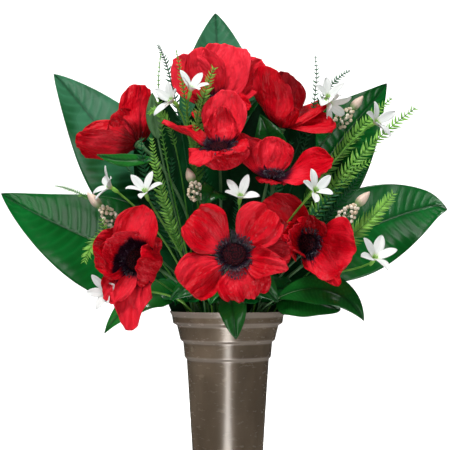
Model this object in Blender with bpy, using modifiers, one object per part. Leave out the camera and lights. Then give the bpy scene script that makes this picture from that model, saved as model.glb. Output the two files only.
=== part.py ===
"""Poppy bouquet in a tapered bronze grave vase: every stem stands in a foam plug in the vase's neck.

Metres, +Z up, the origin at the centre of the vase's foot, the bouquet's front towards -Y.
Sizes and places in the tables are millimetres, and mm() turns them into metres.
"""

import math

import bmesh
import bpy
from mathutils import Vector

MM = 0.001

# Vase
VASE_HEIGHT = 254.0
VASE_STEPS = 36
FOOT_RADIUS = 32.0
RIM_RADIUS = 63.8
WALL = 2.0
VASE_OUTSIDE = (  # radius, height, from the rim down to the foot
    (RIM_RADIUS, VASE_HEIGHT),
    (60.0, 241.0),
    (55.6, 238.5),
    (51.7, 222.5),
    (48.8, 220.5),
    (47.2, 204.0),
    (45.0, 202.0),
    (FOOT_RADIUS, 0.0),
)
VASE_INSIDE = ((29.8, 3.0), (43.0, 202.0), (49.6, 226.0), (61.8, VASE_HEIGHT))  # from the floor up

# Foam plug
FOAM_BOTTOM = 150.0
FOAM_TOP = 236.0
FOAM_GAP = 0.3
SOCKET_FLOOR = 196.0
SOCKET_RADIUS = 2.5

# Stems
STEM_RADIUS = 1.7
CALYX_RADIUS = 4.2
CALYX_LENGTH = 5.0
THIN_STEM_RADIUS = 1.1
SEAT_GAP = 0.3

# Poppy heads
RECEPTACLE_RADIUS = 5.0
RECEPTACLE_BELOW = 2.5
RECEPTACLE_ABOVE = 1.5
PETAL_THICKNESS = 1.1
PETAL_ROWS = 4
PETAL_COLUMNS = 4
PETAL_START = 1.5
BASE_RISE = 18.0
BEND_SHARE = 0.38
CURL_START = 0.55
CORNER_DROP = 0.24

# Leaves
LEAF_THICKNESS = 1.1
PETIOLE_WIDTH = 3.0

RED = (0.62, 0.01, 0.02)
DARK = (0.02, 0.012, 0.02)
GREEN = (0.02, 0.16, 0.05)
LIME = (0.2, 0.42, 0.05)
WHITE = (0.85, 0.87, 0.84)
CREAM = (0.72, 0.6, 0.45)
BRONZE = (0.13, 0.1, 0.075)
FOAM_GREEN = (0.07, 0.14, 0.06)

# name: centre of the receptacle, (azimuth, elevation) it faces, eye radius, socket (x, y), petals
# petal: angle round the head from its right-hand side, length, width, tilt, cup, curl, twist
POPPIES = {
    "poppy_top": (
        (-13, -12, 474), (-4, 22), 9, (-6, 14),
        ((72, 68, 62, 30, 0.7, 20, 0), (112, 66, 52, 36, 0.6, 10, 0), (142, 62, 50, 30, 0.6, 10, 0),
         (36, 74, 44, 22, 0.5, 0, 0), (-35, 52, 46, 30, 0.6, 0, 0), (-130, 52, 48, 30, 0.6, 0, 0)),
    ),
    "poppy_upper_right": (
        (68, -20, 449), (40, 45), 7, (18, 8),
        ((195, 66, 60, 66, 0.8, -10, 0), (118, 68, 56, 62, 0.7, 0, 0), (60, 60, 50, 48, 0.7, 0, 0),
         (8, 62, 40, 40, 0.5, 0, 30), (-38, 58, 52, 8, 0.6, -10, 0)),
    ),
    "poppy_middle": (
        (-9, -80, 420), (-5, 52), 8, (-8, -10),
        ((72, 60, 56, 56, 0.7, -20, 0), (176, 62, 34, 27, 0.7, 0, 20), (-112, 58, 46, 6, 0.5, 15, 0),
         (-55, 62, 50, 20, 0.6, 0, 0)),
    ),
    "poppy_right": (
        (47, -66, 392), (8, 48), 7, (16, -12),
        ((92, 48, 44, 60, 0.6, 0, 0), (178, 52, 58, 30, 0.7, 0, 0), (5, 66, 48, 20, 0.6, 10, 0),
         (-28, 48, 38, 15, 0.6, 0, 0)),
    ),
    "poppy_upper_left": (
        (-92, -22, 434), (-120, 35), 7, (-20, 6),
        ((50, 66, 46, 28, 0.7, -10, 0), (-50, 62, 40, 52, 0.7, 0, 0), (118, 60, 44, 42, 0.6, 0, 0),
         (-118, 58, 40, 60, 0.6, 0, 0)),
    ),
    "poppy_lower_left": (
        (-86, -80, 309), (-25, 5), 8, (-26, -22),
        ((82, 62, 58, 40, 0.7, 50, 0), (165, 56, 60, 52, 0.7, 20, 0), (212, 58, 52, 38, 0.6, 10, 0),
         (262, 76, 46, 6, 0.6, 0, 0), (2, 52, 56, 42, 0.7, -30, 0)),
    ),
    "poppy_front": (
        (6, -122, 311), (5, 20), 11, (2, -30),
        ((143, 64, 54, 20, 0.5, 0, 0), (52, 62, 52, 18, 0.5, 0, 0), (4, 58, 46, 6, 0.5, 10, 0),
         (-22, 60, 44, 32, 0.5, 20, 0), (-93, 58, 56, 14, 0.5, 20, 0), (213, 68, 56, 24, 0.5, 20, 0)),
    ),
    "poppy_lower_right": (
        (84, -72, 325), (-32, 12), 7.5, (26, -20),
        ((100, 52, 60, 40, 0.7, 0, 0), (5, 56, 64, 8, 0.5, 0, 0), (-65, 60, 52, 25, 0.6, 10, 0),
         (165, 46, 54, 58, 0.6, 0, 0), (210, 44, 46, 64, 0.6, 0, 0)),
    ),
}

# name: tip, two bend points from the foam, face direction, width, share of petiole, fold, socket (x, y)
BROAD_LEAVES = {
    "leaf_top": ((-14, 35, 593), (-8, 42, 330), (-8, 45, 500), (0, -1, 0.1), 92, 0.42, 14, (-4, 36)),
    "leaf_upper_left": ((-198, 30, 522), (-50, 46, 320), (-120, 48, 430), (0.1, -1, 0.1), 86, 0.36, 14,
                        (-18, 32)),
    "leaf_upper_right": ((181, 30, 506), (46, 46, 320), (110, 48, 430), (-0.1, -1, 0.1), 84, 0.36, 14,
                         (14, 33)),
    "leaf_left": ((-252, 10, 384), (-44, 34, 312), (-150, 22, 310), (0, -1, 0.25), 100, 0.3, 12, (-30, 20)),
    "leaf_right": ((244, 10, 372), (46, 34, 312), (150, 22, 306), (0, -1, 0.25), 92, 0.3, 12, (28, 22)),
}

SMALL_LEAVES = {
    "leaf_low_right": ((120, -58, 262), (38, -16, 280), (78, -56, 292), (0.1, -0.8, 0.8), 42, 0.38, 10,
                       (36, -6)),
    "leaf_low_right_front": ((133, -92, 249), (40, -44, 276), (104, -84, 304), (0.3, -0.8, 0.8), 26,
                             0.34, 12, (20, -32)),
    "leaf_low_left": ((-124, -44, 226), (-42, -14, 284), (-92, -36, 298), (-0.2, -0.8, 0.8), 32, 0.4,
                      10, (-37, -8)),
    "leaf_front": ((10, -98, 230), (0, -44, 282), (10, -102, 292), (0, -1, 0.4), 30, 0.42, 16, (-12, -36)),
}

# name: poppy whose stem carries it, share of that stem, tip, bend point, face direction, width
STEM_LEAVES = {
    "sepal_front_left": ("poppy_front", 0.86, (-58, -106, 268), (-26, -96, 300), (0, -1, 0.6), 26),
    "sepal_front_right": ("poppy_front", 0.86, (50, -100, 268), (30, -94, 298), (0, -1, 0.6), 26),
    "sepal_middle": ("poppy_middle", 0.74, (-26, -98, 362), (-12, -98, 388), (0, -1, 0.4), 30),
    "sepal_upper_right": ("poppy_upper_right", 0.9, (38, -52, 462), (46, -50, 436), (-0.3, -1, 0), 26),
    "sepal_upper_left": ("poppy_upper_left", 0.9, (-138, -54, 420), (-112, -46, 412), (0, -1, 0.3), 26),
    "sepal_top": ("poppy_top", 0.93, (34, -22, 486), (16, -10, 466), (0, -1, 0), 20),
}

# name: (flower centres with their facing), socket (x, y); a second flower sits on a fork of the stem
WHITE_FLOWERS = {
    "white_top_left": (((-69, -60, 474), (-40, 20)), ((-39, -75, 483), (20, 50)), (-16, -2)),
    "white_upper_left": (((-125, -70, 383), (-60, 30)), (-34, 4)),
    "white_left": (((-85, -84, 378), (-10, 25)), (-28, -4)),
    "white_middle": (((12, -96, 370), (5, 40)), (12, -27)),
    "white_right": (((86, -100, 377), (30, 25)), (26, -6)),
    "white_low_right": (((154, -60, 315), (40, 40)), (38, 4)),
    "white_low_left": (((-133, -72, 270), (-60, -10)), (-32, -30)),
    "white_upper_right": (((105, 6, 491), (10, 60)), ((126, -4, 473), (60, -30)), (24, 18)),
    "white_far_right": (((158, -25, 463), (50, 20)), (32, 12)),
}
WHITE_PETALS = 5
WHITE_RADIUS = 19.0
WHITE_NECK = 5.0
WHITE_DISH = 6.0

# name: tip of the bud, foot of the berry cluster, socket (x, y)
BUD_SPRAYS = {
    "bud_left": ((-146, -62, 378), (-116, -58, 346), (-34, 12)),
    "bud_middle": ((-42, -58, 404), (-30, -62, 372), (-14, -20)),
    "bud_right": ((149, -48, 380), (118, -50, 348), (34, -14)),
    "bud_upper_right": ((152, 22, 494), (124, 24, 462), (20, 26)),
}
# distance along bud and berries from the foot of the cluster, and radius
BUD_OUTLINE = ((0.0, 1.1), (0.12, 7.0), (0.32, 9.0), (0.48, 6.5), (0.56, 2.6), (0.66, 5.2), (0.8, 4.6),
               (0.93, 2.4), (1.0, 0.5))

# name: tip, two bend points, face direction, width, share of bare stem, socket (x, y)
FERNS = {
    "fern_right_high": ((206, -14, 476), (52, 0, 330), (140, -14, 430), (-0.2, -1, 0.5), 26, 0.45,
                        (40, -12)),
    "fern_right_upper": ((181, -6, 488), (50, 16, 330), (120, 8, 440), (-0.2, -1, 0.5), 24, 0.5, (28, 0)),
    "fern_right_low": ((176, -46, 380), (60, -16, 290), (130, -40, 320), (-0.2, -1, 0.4), 28, 0.5,
                       (42, -20)),
    "fern_left_middle": ((-78, -58, 432), (-40, -20, 300), (-44, -54, 372), (0, -1, 0.4), 24, 0.45,
                         (-24, -12)),
    "fern_top_left": ((-26, -70, 506), (-28, -24, 320), (-50, -60, 440), (0.3, -1, 0.2), 22, 0.6,
                      (-20, -14)),
    "fern_low_left": ((-150, -58, 306), (-60, -16, 300), (-132, -44, 376), (0, -1, 0.5), 22, 0.5, (-38, 16)),
}


def mm(values):
    """A point or list of numbers in millimetres as a vector in metres."""
    return Vector(values) * MM


def material(name, colour, roughness, metallic=0.0):
    made = bpy.data.materials.new(name)
    made.use_nodes = True
    shader = made.node_tree.nodes["Principled BSDF"]
    shader.inputs["Base Color"].default_value = (*colour, 1)
    shader.inputs["Roughness"].default_value = roughness
    shader.inputs["Metallic"].default_value = metallic
    return made


def facing(azimuth, elevation):
    """(right, up, forward) of a head that faces this way: azimuth 0 is -Y, and +X is to its right."""
    turn, rise = math.radians(azimuth), math.radians(elevation)
    forward = Vector((math.sin(turn) * math.cos(rise), -math.cos(turn) * math.cos(rise), math.sin(rise)))
    right = Vector((0, 0, 1)).cross(forward).normalized()
    return right, forward.cross(right), forward


def bezier(points, share):
    """The point of a cubic Bezier curve at this share of its parameter."""
    a, b, c, d = points
    rest = 1 - share
    return a * rest**3 + b * 3 * rest**2 * share + c * 3 * rest * share**2 + d * share**3


def smooth(share):
    share = min(1.0, max(0.0, share))
    return share * share * (3 - 2 * share)


def link(made, collection):
    collection.objects.link(made)
    return made


def shade(made):
    made.data.shade_smooth()
    made.data.set_sharp_from_angle(angle=math.radians(40))
    return made


def turned(name, profile, steps, finish, collection):
    """A solid turned round the Z axis from a profile whose outer side runs from top to bottom."""
    mesh = bpy.data.meshes.new(name)
    edges = [(i, i + 1) for i in range(len(profile) - 1)]
    mesh.from_pydata([(r * MM, 0, z * MM) for r, z in profile], edges, [])
    made = link(bpy.data.objects.new(name, mesh), collection)
    made.data.materials.append(finish)
    screw = made.modifiers.new("turn", "SCREW")
    screw.steps = screw.render_steps = steps
    screw.use_merge_vertices = True
    screw.merge_threshold = 1e-5
    return made


def tube(name, points, radii, sides, finish, collection):
    """A closed mesh tube along these points, with its own radius at each of them."""
    curve = bpy.data.curves.new(name, "CURVE")
    curve.dimensions = "3D"
    curve.bevel_depth = 1.0
    curve.bevel_resolution = (sides - 4) // 2
    curve.use_fill_caps = True
    line = curve.splines.new("POLY")
    line.points.add(len(points) - 1)
    for knot, point, radius in zip(line.points, points, radii):
        knot.co = (*point, 1)
        knot.radius = radius
    shape = bpy.data.objects.new(name + "_line", curve)
    collection.objects.link(shape)
    mesh = bpy.data.meshes.new_from_object(shape.evaluated_get(bpy.context.evaluated_depsgraph_get()))
    bpy.data.objects.remove(shape)
    work = bmesh.new()
    work.from_mesh(mesh)
    bmesh.ops.remove_doubles(work, verts=work.verts, dist=1e-5)
    bmesh.ops.recalc_face_normals(work, faces=work.faces)
    work.to_mesh(mesh)
    work.free()
    mesh.name = name
    mesh.materials.clear()
    mesh.materials.append(finish)
    return link(bpy.data.objects.new(name, mesh), collection)


def sheet(name, rows, columns, point_at, thickness, finish, collection):
    """A thin shell: a grid with points from point_at(u along, v across from -1 to 1), given a thickness."""
    work = bmesh.new()
    bmesh.ops.create_grid(work, x_segments=columns, y_segments=rows, size=0.5)
    for vertex in work.verts:
        vertex.co = point_at(vertex.co.y + 0.5, vertex.co.x * 2)
    mesh = bpy.data.meshes.new(name)
    work.to_mesh(mesh)
    work.free()
    mesh.materials.append(finish)
    made = link(bpy.data.objects.new(name, mesh), collection)
    wall = made.modifiers.new("wall", "SOLIDIFY")
    wall.thickness = thickness * MM
    wall.offset = 0
    return made


def unite(base, pieces):
    """Joins pieces to the base with Boolean unions; the pieces stay behind as hidden helpers."""
    for piece in pieces:
        piece.hide_render = True
        piece.display_type = "WIRE"
        join = base.modifiers.new("join " + piece.name, "BOOLEAN")
        join.operation = "UNION"
        join.solver = "EXACT"
        join.object = piece
    return base


def socket_line(socket):
    """The straight stretch of a stem inside the foam: (bottom, top), leaning a little outwards."""
    x, y = socket
    return mm((x * 0.86, y * 0.86, SOCKET_FLOOR)), mm((x, y, FOAM_TOP))


def stem_points(socket, bend_low, bend_high, end, count):
    """Points from the socket's floor, out of the foam and along a Bezier curve to the end."""
    bottom, top = socket_line(socket)
    floor = bottom + (top - bottom).normalized() * SEAT_GAP * MM
    line = (top, bend_low, bend_high, end)
    return [floor] + [bezier(line, i / count) for i in range(count + 1)]


def leave_socket(socket, reach):
    """The first bend point of a stem: on from its socket in the socket's own direction."""
    bottom, top = socket_line(socket)
    return top + (top - bottom).normalized() * reach * MM


def petal_surface(centre, axes, petal):
    """point_at for one petal of a head with this centre and these axes."""
    angle, length, width, tilt, cup, curl, twist = petal
    right, up, forward = axes
    out = right * math.cos(math.radians(angle)) + up * math.sin(math.radians(angle))
    across = up * math.cos(math.radians(angle)) - right * math.sin(math.radians(angle))
    fine = 24

    def rise(share):
        rolled = max(0.0, (share - CURL_START) / (1 - CURL_START)) ** 2
        return math.radians(BASE_RISE + (tilt - BASE_RISE) * smooth(share / BEND_SHARE) - curl * rolled)

    line = [(PETAL_START, 0.0)]
    for i in range(fine):
        slope = rise((i + 0.5) / fine)
        reach, height = line[-1]
        line.append((reach + math.cos(slope) * length / fine, height + math.sin(slope) * length / fine))

    def point_at(u, v):
        share = u * (1 - CORNER_DROP * v * v * u * u)
        step = min(fine - 1, int(share * fine))
        part = share * fine - step
        reach = line[step][0] * (1 - part) + line[step + 1][0] * part
        height = line[step][1] * (1 - part) + line[step + 1][1] * part
        slope = rise(share)
        wide = 0.16 + 0.84 * math.sin(math.pi / 2 * min(1, u / 0.72)) - 0.22 * max(0, (u - 0.72) / 0.28) ** 2
        bend = v * wide * cup
        side = width / 2 / cup * math.sin(bend)
        inward = width / 2 / cup * (1 - math.cos(bend))
        turn = math.radians(twist) * smooth(u / 0.6)
        inner = forward * math.cos(slope) - out * math.sin(slope)
        sideways = across * math.cos(turn) + inner * math.sin(turn)
        inner = inner * math.cos(turn) - across * math.sin(turn)
        return centre + (out * reach + forward * height + sideways * side + inner * inward) * MM

    return point_at


def poppy_path(name):
    """Points of a poppy's stem; the last stretch, under the receptacle, runs along the head's axis."""
    centre, (azimuth, elevation), _, socket, _ = POPPIES[name]
    forward = facing(azimuth, elevation)[2]
    end = mm(centre) - forward * (RECEPTACLE_BELOW + SEAT_GAP) * MM
    neck = end - forward * CALYX_LENGTH * MM
    reach = (neck - socket_line(socket)[1]).length / MM
    low = leave_socket(socket, reach * 0.4)
    return [*stem_points(socket, low, neck - forward * min(60, reach * 0.4) * MM, neck, 9), end]


def poppy(name, collection, helpers):
    centre, look, eye_radius, _, petals = POPPIES[name]
    axes = facing(*look)
    forward = axes[2]
    turn = forward.to_track_quat("Z", "Y").to_euler()
    points = poppy_path(name)
    radii = [STEM_RADIUS * MM] * (len(points) - 1) + [CALYX_RADIUS * MM]
    tube(name + "_stem", points, radii, 6, materials["stem"], collection)

    work = bmesh.new()
    bmesh.ops.create_cone(work, cap_ends=True, segments=10, radius1=RECEPTACLE_RADIUS * 0.8 * MM,
                          radius2=RECEPTACLE_RADIUS * MM, depth=(RECEPTACLE_BELOW + RECEPTACLE_ABOVE) * MM)
    mesh = bpy.data.meshes.new(name + "_petals")
    work.to_mesh(mesh)
    work.free()
    mesh.materials.append(materials["petal"])
    receptacle = link(bpy.data.objects.new(name + "_petals", mesh), collection)
    receptacle.location = mm(centre) + forward * (RECEPTACLE_ABOVE - RECEPTACLE_BELOW) / 2 * MM
    receptacle.rotation_euler = turn
    blades = [
        sheet(f"{name}_petal_{i}", PETAL_ROWS, PETAL_COLUMNS, petal_surface(mm(centre), axes, petal),
              PETAL_THICKNESS, materials["petal"], helpers)
        for i, petal in enumerate(petals, 1)
    ]
    unite(receptacle, blades)

    work = bmesh.new()
    bmesh.ops.create_uvsphere(work, u_segments=10, v_segments=6, radius=1)
    bmesh.ops.scale(work, verts=work.verts, vec=(eye_radius * MM, eye_radius * MM, 5 * MM))
    mesh = bpy.data.meshes.new(name + "_eye")
    work.to_mesh(mesh)
    work.free()
    mesh.materials.append(materials["eye"])
    eye = link(bpy.data.objects.new(name + "_eye", mesh), collection)
    eye.location = mm(centre) + forward * (RECEPTACLE_ABOVE + SEAT_GAP + 5) * MM
    eye.rotation_euler = turn


def leaf(name, line, face, width, petiole, fold, foot, rows, columns, collection):
    """A leaf and its stalk as one blade: it keeps the stalk's width for its first share and then swells."""
    face = Vector(face).normalized()
    bend = math.radians(fold)

    def point_at(u, v):
        if foot and u < 0.5 / rows:
            centre, after = foot, line[0]
        else:
            share = (u - (1 / rows if foot else 0)) / (1 - (1 / rows if foot else 0))
            centre, after = bezier(line, share), bezier(line, min(1, share + 0.01))
            if share > 0.99:
                centre, after = bezier(line, 1), bezier(line, 1) * 2 - bezier(line, 0.99)
        along = (after - centre).normalized()
        side = along.cross(face).normalized()
        front = side.cross(along)
        blade = max(0.0, (u - petiole) / (1 - petiole))
        half = PETIOLE_WIDTH / 2
        if blade > 0:
            half += (width / 2 - half) * math.sin(math.pi * min(1, 0.04 + 0.96 * blade ** 0.8)) ** 0.85
        if u > 0.999:
            half = 0.6
        reach = v * half * MM
        return centre + side * reach * math.cos(bend) + front * abs(reach) * math.sin(bend)

    return sheet(name, rows, columns, point_at, LEAF_THICKNESS, materials["leaf"], collection)


def socket_leaf(name, row, rows, columns, collection):
    tip, low, high, face, width, petiole, fold, socket = row
    bottom, top = socket_line(socket)
    floor = bottom + (top - bottom).normalized() * (SEAT_GAP + 0.3) * MM
    line = (top, mm(low), mm(high), mm(tip))
    return leaf(name, line, face, width, petiole, fold, floor, rows, columns, collection)


def stem_leaf(name, row, collection):
    """A small leaf that grows from a poppy's stem; it starts just clear of the stem's skin."""
    carrier, share, tip, bend, face, width = row
    points = poppy_path(carrier)[1:-1]
    place = share * (len(points) - 1)
    low = int(place)
    on_stem = points[low].lerp(points[low + 1], place - low)
    along = (points[low + 1] - points[low]).normalized()
    away = mm(bend) - on_stem
    away = (away - along * away.dot(along)).normalized()
    start = on_stem + away * (STEM_RADIUS + SEAT_GAP + 0.3) * MM
    line = (start, start.lerp(mm(bend), 0.7), mm(bend).lerp(mm(tip), 0.2), mm(tip))
    return leaf(name, line, face, width, 0.12, 10, None, 5, 2, collection)


def white_star(name, centre, look, collection):
    """The dished five-petalled star of a white flower."""
    right, up, forward = facing(*look)
    work = bmesh.new()
    bmesh.ops.create_circle(work, cap_tris=True, cap_ends=True, segments=WHITE_PETALS * 2, radius=1)
    for vertex in work.verts:
        reach = vertex.co.length
        step = round(math.atan2(vertex.co.x, vertex.co.y) / math.pi * WHITE_PETALS)
        if reach < 0.5:
            vertex.co = mm(centre)
            continue
        tip = step % 2 == 0
        spread = WHITE_RADIUS if tip else WHITE_NECK
        lift = WHITE_DISH if tip else 2.0
        flat = (right * vertex.co.x + up * vertex.co.y) * spread
        vertex.co = mm(centre) + (flat + forward * lift) * MM
    mesh = bpy.data.meshes.new(name)
    work.to_mesh(mesh)
    work.free()
    mesh.materials.append(materials["white"])
    made = link(bpy.data.objects.new(name, mesh), collection)
    wall = made.modifiers.new("wall", "SOLIDIFY")
    wall.thickness = 1.4 * MM
    wall.offset = 0
    return made


def white_path(centre, look, socket):
    forward = facing(*look)[2]
    end = mm(centre) + forward * 0.4 * MM
    reach = (end - socket_line(socket)[1]).length / MM
    return stem_points(socket, leave_socket(socket, reach * 0.45), end - forward * 30 * MM, end, 7)


def white_flower(name, row, collection, helpers):
    *heads, socket = row
    stars, stalks = [], []
    for i, (centre, look) in enumerate(heads, 1):
        stars.append(white_star(f"{name}_star_{i}", centre, look, helpers))
    main = white_path(*heads[0], socket)
    stalk = tube(name, main, [THIN_STEM_RADIUS * MM] * len(main), 6, materials["white"], collection)
    if len(heads) > 1:
        centre, look = heads[1]
        forward = facing(*look)[2]
        end = mm(centre) + forward * 0.4 * MM
        start = main[-3]
        line = (start, start + (main[-2] - main[-3]) * 0.8, end - forward * 18 * MM, end)
        fork = [bezier(line, i / 5) for i in range(6)]
        radii = [THIN_STEM_RADIUS * 0.9 * MM] * 6
        stalks.append(tube(name + "_fork", fork, radii, 6, materials["stem"], helpers))
    unite(stalk, stars + stalks)


def bud_spray(name, row, collection):
    tip, foot, socket = row
    tip, foot = mm(tip), mm(foot)
    along = (tip - foot).normalized()
    reach = (foot - socket_line(socket)[1]).length / MM
    points = stem_points(socket, leave_socket(socket, reach * 0.45), foot - along * 40 * MM, foot, 6)
    radii = [THIN_STEM_RADIUS * MM] * len(points)
    for share, radius in BUD_OUTLINE[1:]:
        points.append(foot.lerp(tip, share))
        radii.append(radius * MM)
    tube(name, points, radii, 8, materials["bud"], collection)


def fern(name, row, collection):
    tip, low, high, face, width, bare, socket = row
    made = socket_leaf(name, (tip, low, high, face, width, bare, 6, socket), 9, 2, collection)
    made.data.materials[0] = materials["fern"]


def all_sockets():
    found = [row[3] for row in POPPIES.values()]
    found += [row[7] for row in (*BROAD_LEAVES.values(), *SMALL_LEAVES.values())]
    found += [row[-1] for row in (*WHITE_FLOWERS.values(), *BUD_SPRAYS.values(), *FERNS.values())]
    return found


def vase(collection):
    profile = [(0.0, VASE_INSIDE[0][1]), *VASE_INSIDE, *VASE_OUTSIDE, (0.0, 0.0)]
    return turned("vase", profile, VASE_STEPS, materials["bronze"], collection)


def inside_radius(height):
    """The vase's inner radius at this height."""
    for (r0, z0), (r1, z1) in zip(VASE_INSIDE, VASE_INSIDE[1:]):
        if z0 <= height <= z1:
            return r0 + (r1 - r0) * (height - z0) / (z1 - z0)
    raise ValueError(height)


def foam(collection, helpers):
    """The plug that fills the vase's neck, with a socket drilled for every stem."""
    bend = VASE_INSIDE[1][1]
    gap = FOAM_GAP / math.cos(math.pi / VASE_STEPS)
    side = [(inside_radius(z) - gap, z) for z in (FOAM_TOP, VASE_INSIDE[2][1], bend, FOAM_BOTTOM)]
    outline = [(0.0, FOAM_TOP), *side, (0.0, FOAM_BOTTOM)]
    made = turned("foam_plug", outline, VASE_STEPS, materials["foam"], collection)
    for i, socket in enumerate(all_sockets()):
        bottom, top = socket_line(socket)
        beyond = top + (top - bottom).normalized() * 4 * MM
        radii = [SOCKET_RADIUS * MM] * 2
        drill = tube(f"socket_{i}", [bottom, beyond], radii, 6, materials["foam"], helpers)
        drill.hide_render = True
        drill.display_type = "WIRE"
        cut = made.modifiers.new(f"socket {i}", "BOOLEAN")
        cut.operation = "DIFFERENCE"
        cut.solver = "EXACT"
        cut.object = drill
    return made


for old in list(bpy.data.objects):
    bpy.data.objects.remove(old)
bouquet = bpy.data.collections.new("poppy_bouquet")
cutters = bpy.data.collections.new("cutters")
bpy.context.scene.collection.children.link(bouquet)
bpy.context.scene.collection.children.link(cutters)
materials = {
    "petal": material("red_fabric", RED, 0.6),
    "eye": material("dark_stamens", DARK, 0.7),
    "stem": material("green_stem", GREEN, 0.5),
    "leaf": material("green_leaf", GREEN, 0.35),
    "fern": material("lime_fern", LIME, 0.5),
    "white": material("white_petal", WHITE, 0.6),
    "bud": material("cream_bud", CREAM, 0.6),
    "bronze": material("bronze", BRONZE, 0.35, 0.8),
    "foam": material("florist_foam", FOAM_GREEN, 0.95),
}
vase(bouquet)
foam(bouquet, cutters)
for title in POPPIES:
    poppy(title, bouquet, cutters)
for title, data in BROAD_LEAVES.items():
    socket_leaf(title, data, 10, 4, bouquet)
for title, data in SMALL_LEAVES.items():
    socket_leaf(title, data, 9, 2, bouquet)
for title, data in STEM_LEAVES.items():
    stem_leaf(title, data, bouquet)
for title, data in WHITE_FLOWERS.items():
    white_flower(title, data, bouquet, cutters)
for title, data in BUD_SPRAYS.items():
    bud_spray(title, data, bouquet)
for title, data in FERNS.items():
    fern(title, data, bouquet)
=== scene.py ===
import math
import random

import bmesh
import bpy
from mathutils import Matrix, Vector, noise


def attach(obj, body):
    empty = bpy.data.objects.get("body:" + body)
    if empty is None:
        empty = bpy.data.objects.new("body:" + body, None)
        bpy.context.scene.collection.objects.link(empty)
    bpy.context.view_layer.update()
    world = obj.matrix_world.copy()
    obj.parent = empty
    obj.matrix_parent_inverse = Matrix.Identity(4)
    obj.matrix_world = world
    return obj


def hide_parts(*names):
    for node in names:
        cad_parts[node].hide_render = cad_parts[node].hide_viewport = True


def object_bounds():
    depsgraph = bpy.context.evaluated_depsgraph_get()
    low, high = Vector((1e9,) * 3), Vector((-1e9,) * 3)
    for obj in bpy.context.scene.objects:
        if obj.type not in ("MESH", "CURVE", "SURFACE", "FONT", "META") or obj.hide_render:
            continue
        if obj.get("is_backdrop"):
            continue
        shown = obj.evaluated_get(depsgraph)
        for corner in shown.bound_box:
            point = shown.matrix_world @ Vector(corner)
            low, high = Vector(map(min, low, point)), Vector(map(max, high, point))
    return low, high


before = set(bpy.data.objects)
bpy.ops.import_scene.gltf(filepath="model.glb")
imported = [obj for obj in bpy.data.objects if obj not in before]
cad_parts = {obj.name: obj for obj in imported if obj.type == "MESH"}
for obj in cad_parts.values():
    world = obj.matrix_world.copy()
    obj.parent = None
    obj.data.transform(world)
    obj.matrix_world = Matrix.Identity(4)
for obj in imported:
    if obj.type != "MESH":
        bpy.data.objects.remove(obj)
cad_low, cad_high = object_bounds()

MM = 0.001

# Vase and foam, millimetres
VASE_STEPS = 96
VASE_OUTSIDE = ((63.8, 254.0), (61.2, 249.0), (60.0, 241.0), (55.6, 238.5), (51.7, 222.5), (48.8, 220.5),
                (47.2, 204.0), (45.0, 202.0), (32.0, 0.0))
VASE_INSIDE = ((29.8, 3.0), (43.0, 202.0), (49.6, 226.0), (61.8, 254.0))
VASE_ROUNDING = 0.7
VASE_CUT = 2.5  # spacing of the rings, so that the painted highlight stays at the corners
CORNER_HIGHLIGHT_WIDTH = 0.9
FOAM_TOP = 236.0
SOCKET_FLOOR = 196.0
SOCKET_SPLAY = 0.86  # how far out the foot of a socket is, as a share of its mouth

# Poppy heads
RECEPTACLE_RADIUS = 5.2
RECEPTACLE_HALF_HEIGHT = 2.6
RECEPTACLE_BELOW = 2.5
SEAT_GAP = 0.3
LEAF_SEAT_GAP = 0.6
CALYX_LENGTH = 5.0
CALYX_RADII = (2.6, 4.6)
STEM_RADIUS = 1.7
THIN_STEM_RADIUS = 1.1
DISC_ABOVE = 4.6
DISC_HALF_HEIGHT = 4.2
STAMEN_RADII = (0.32, 0.28, 0.26, 0.24, 0.2)
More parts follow.
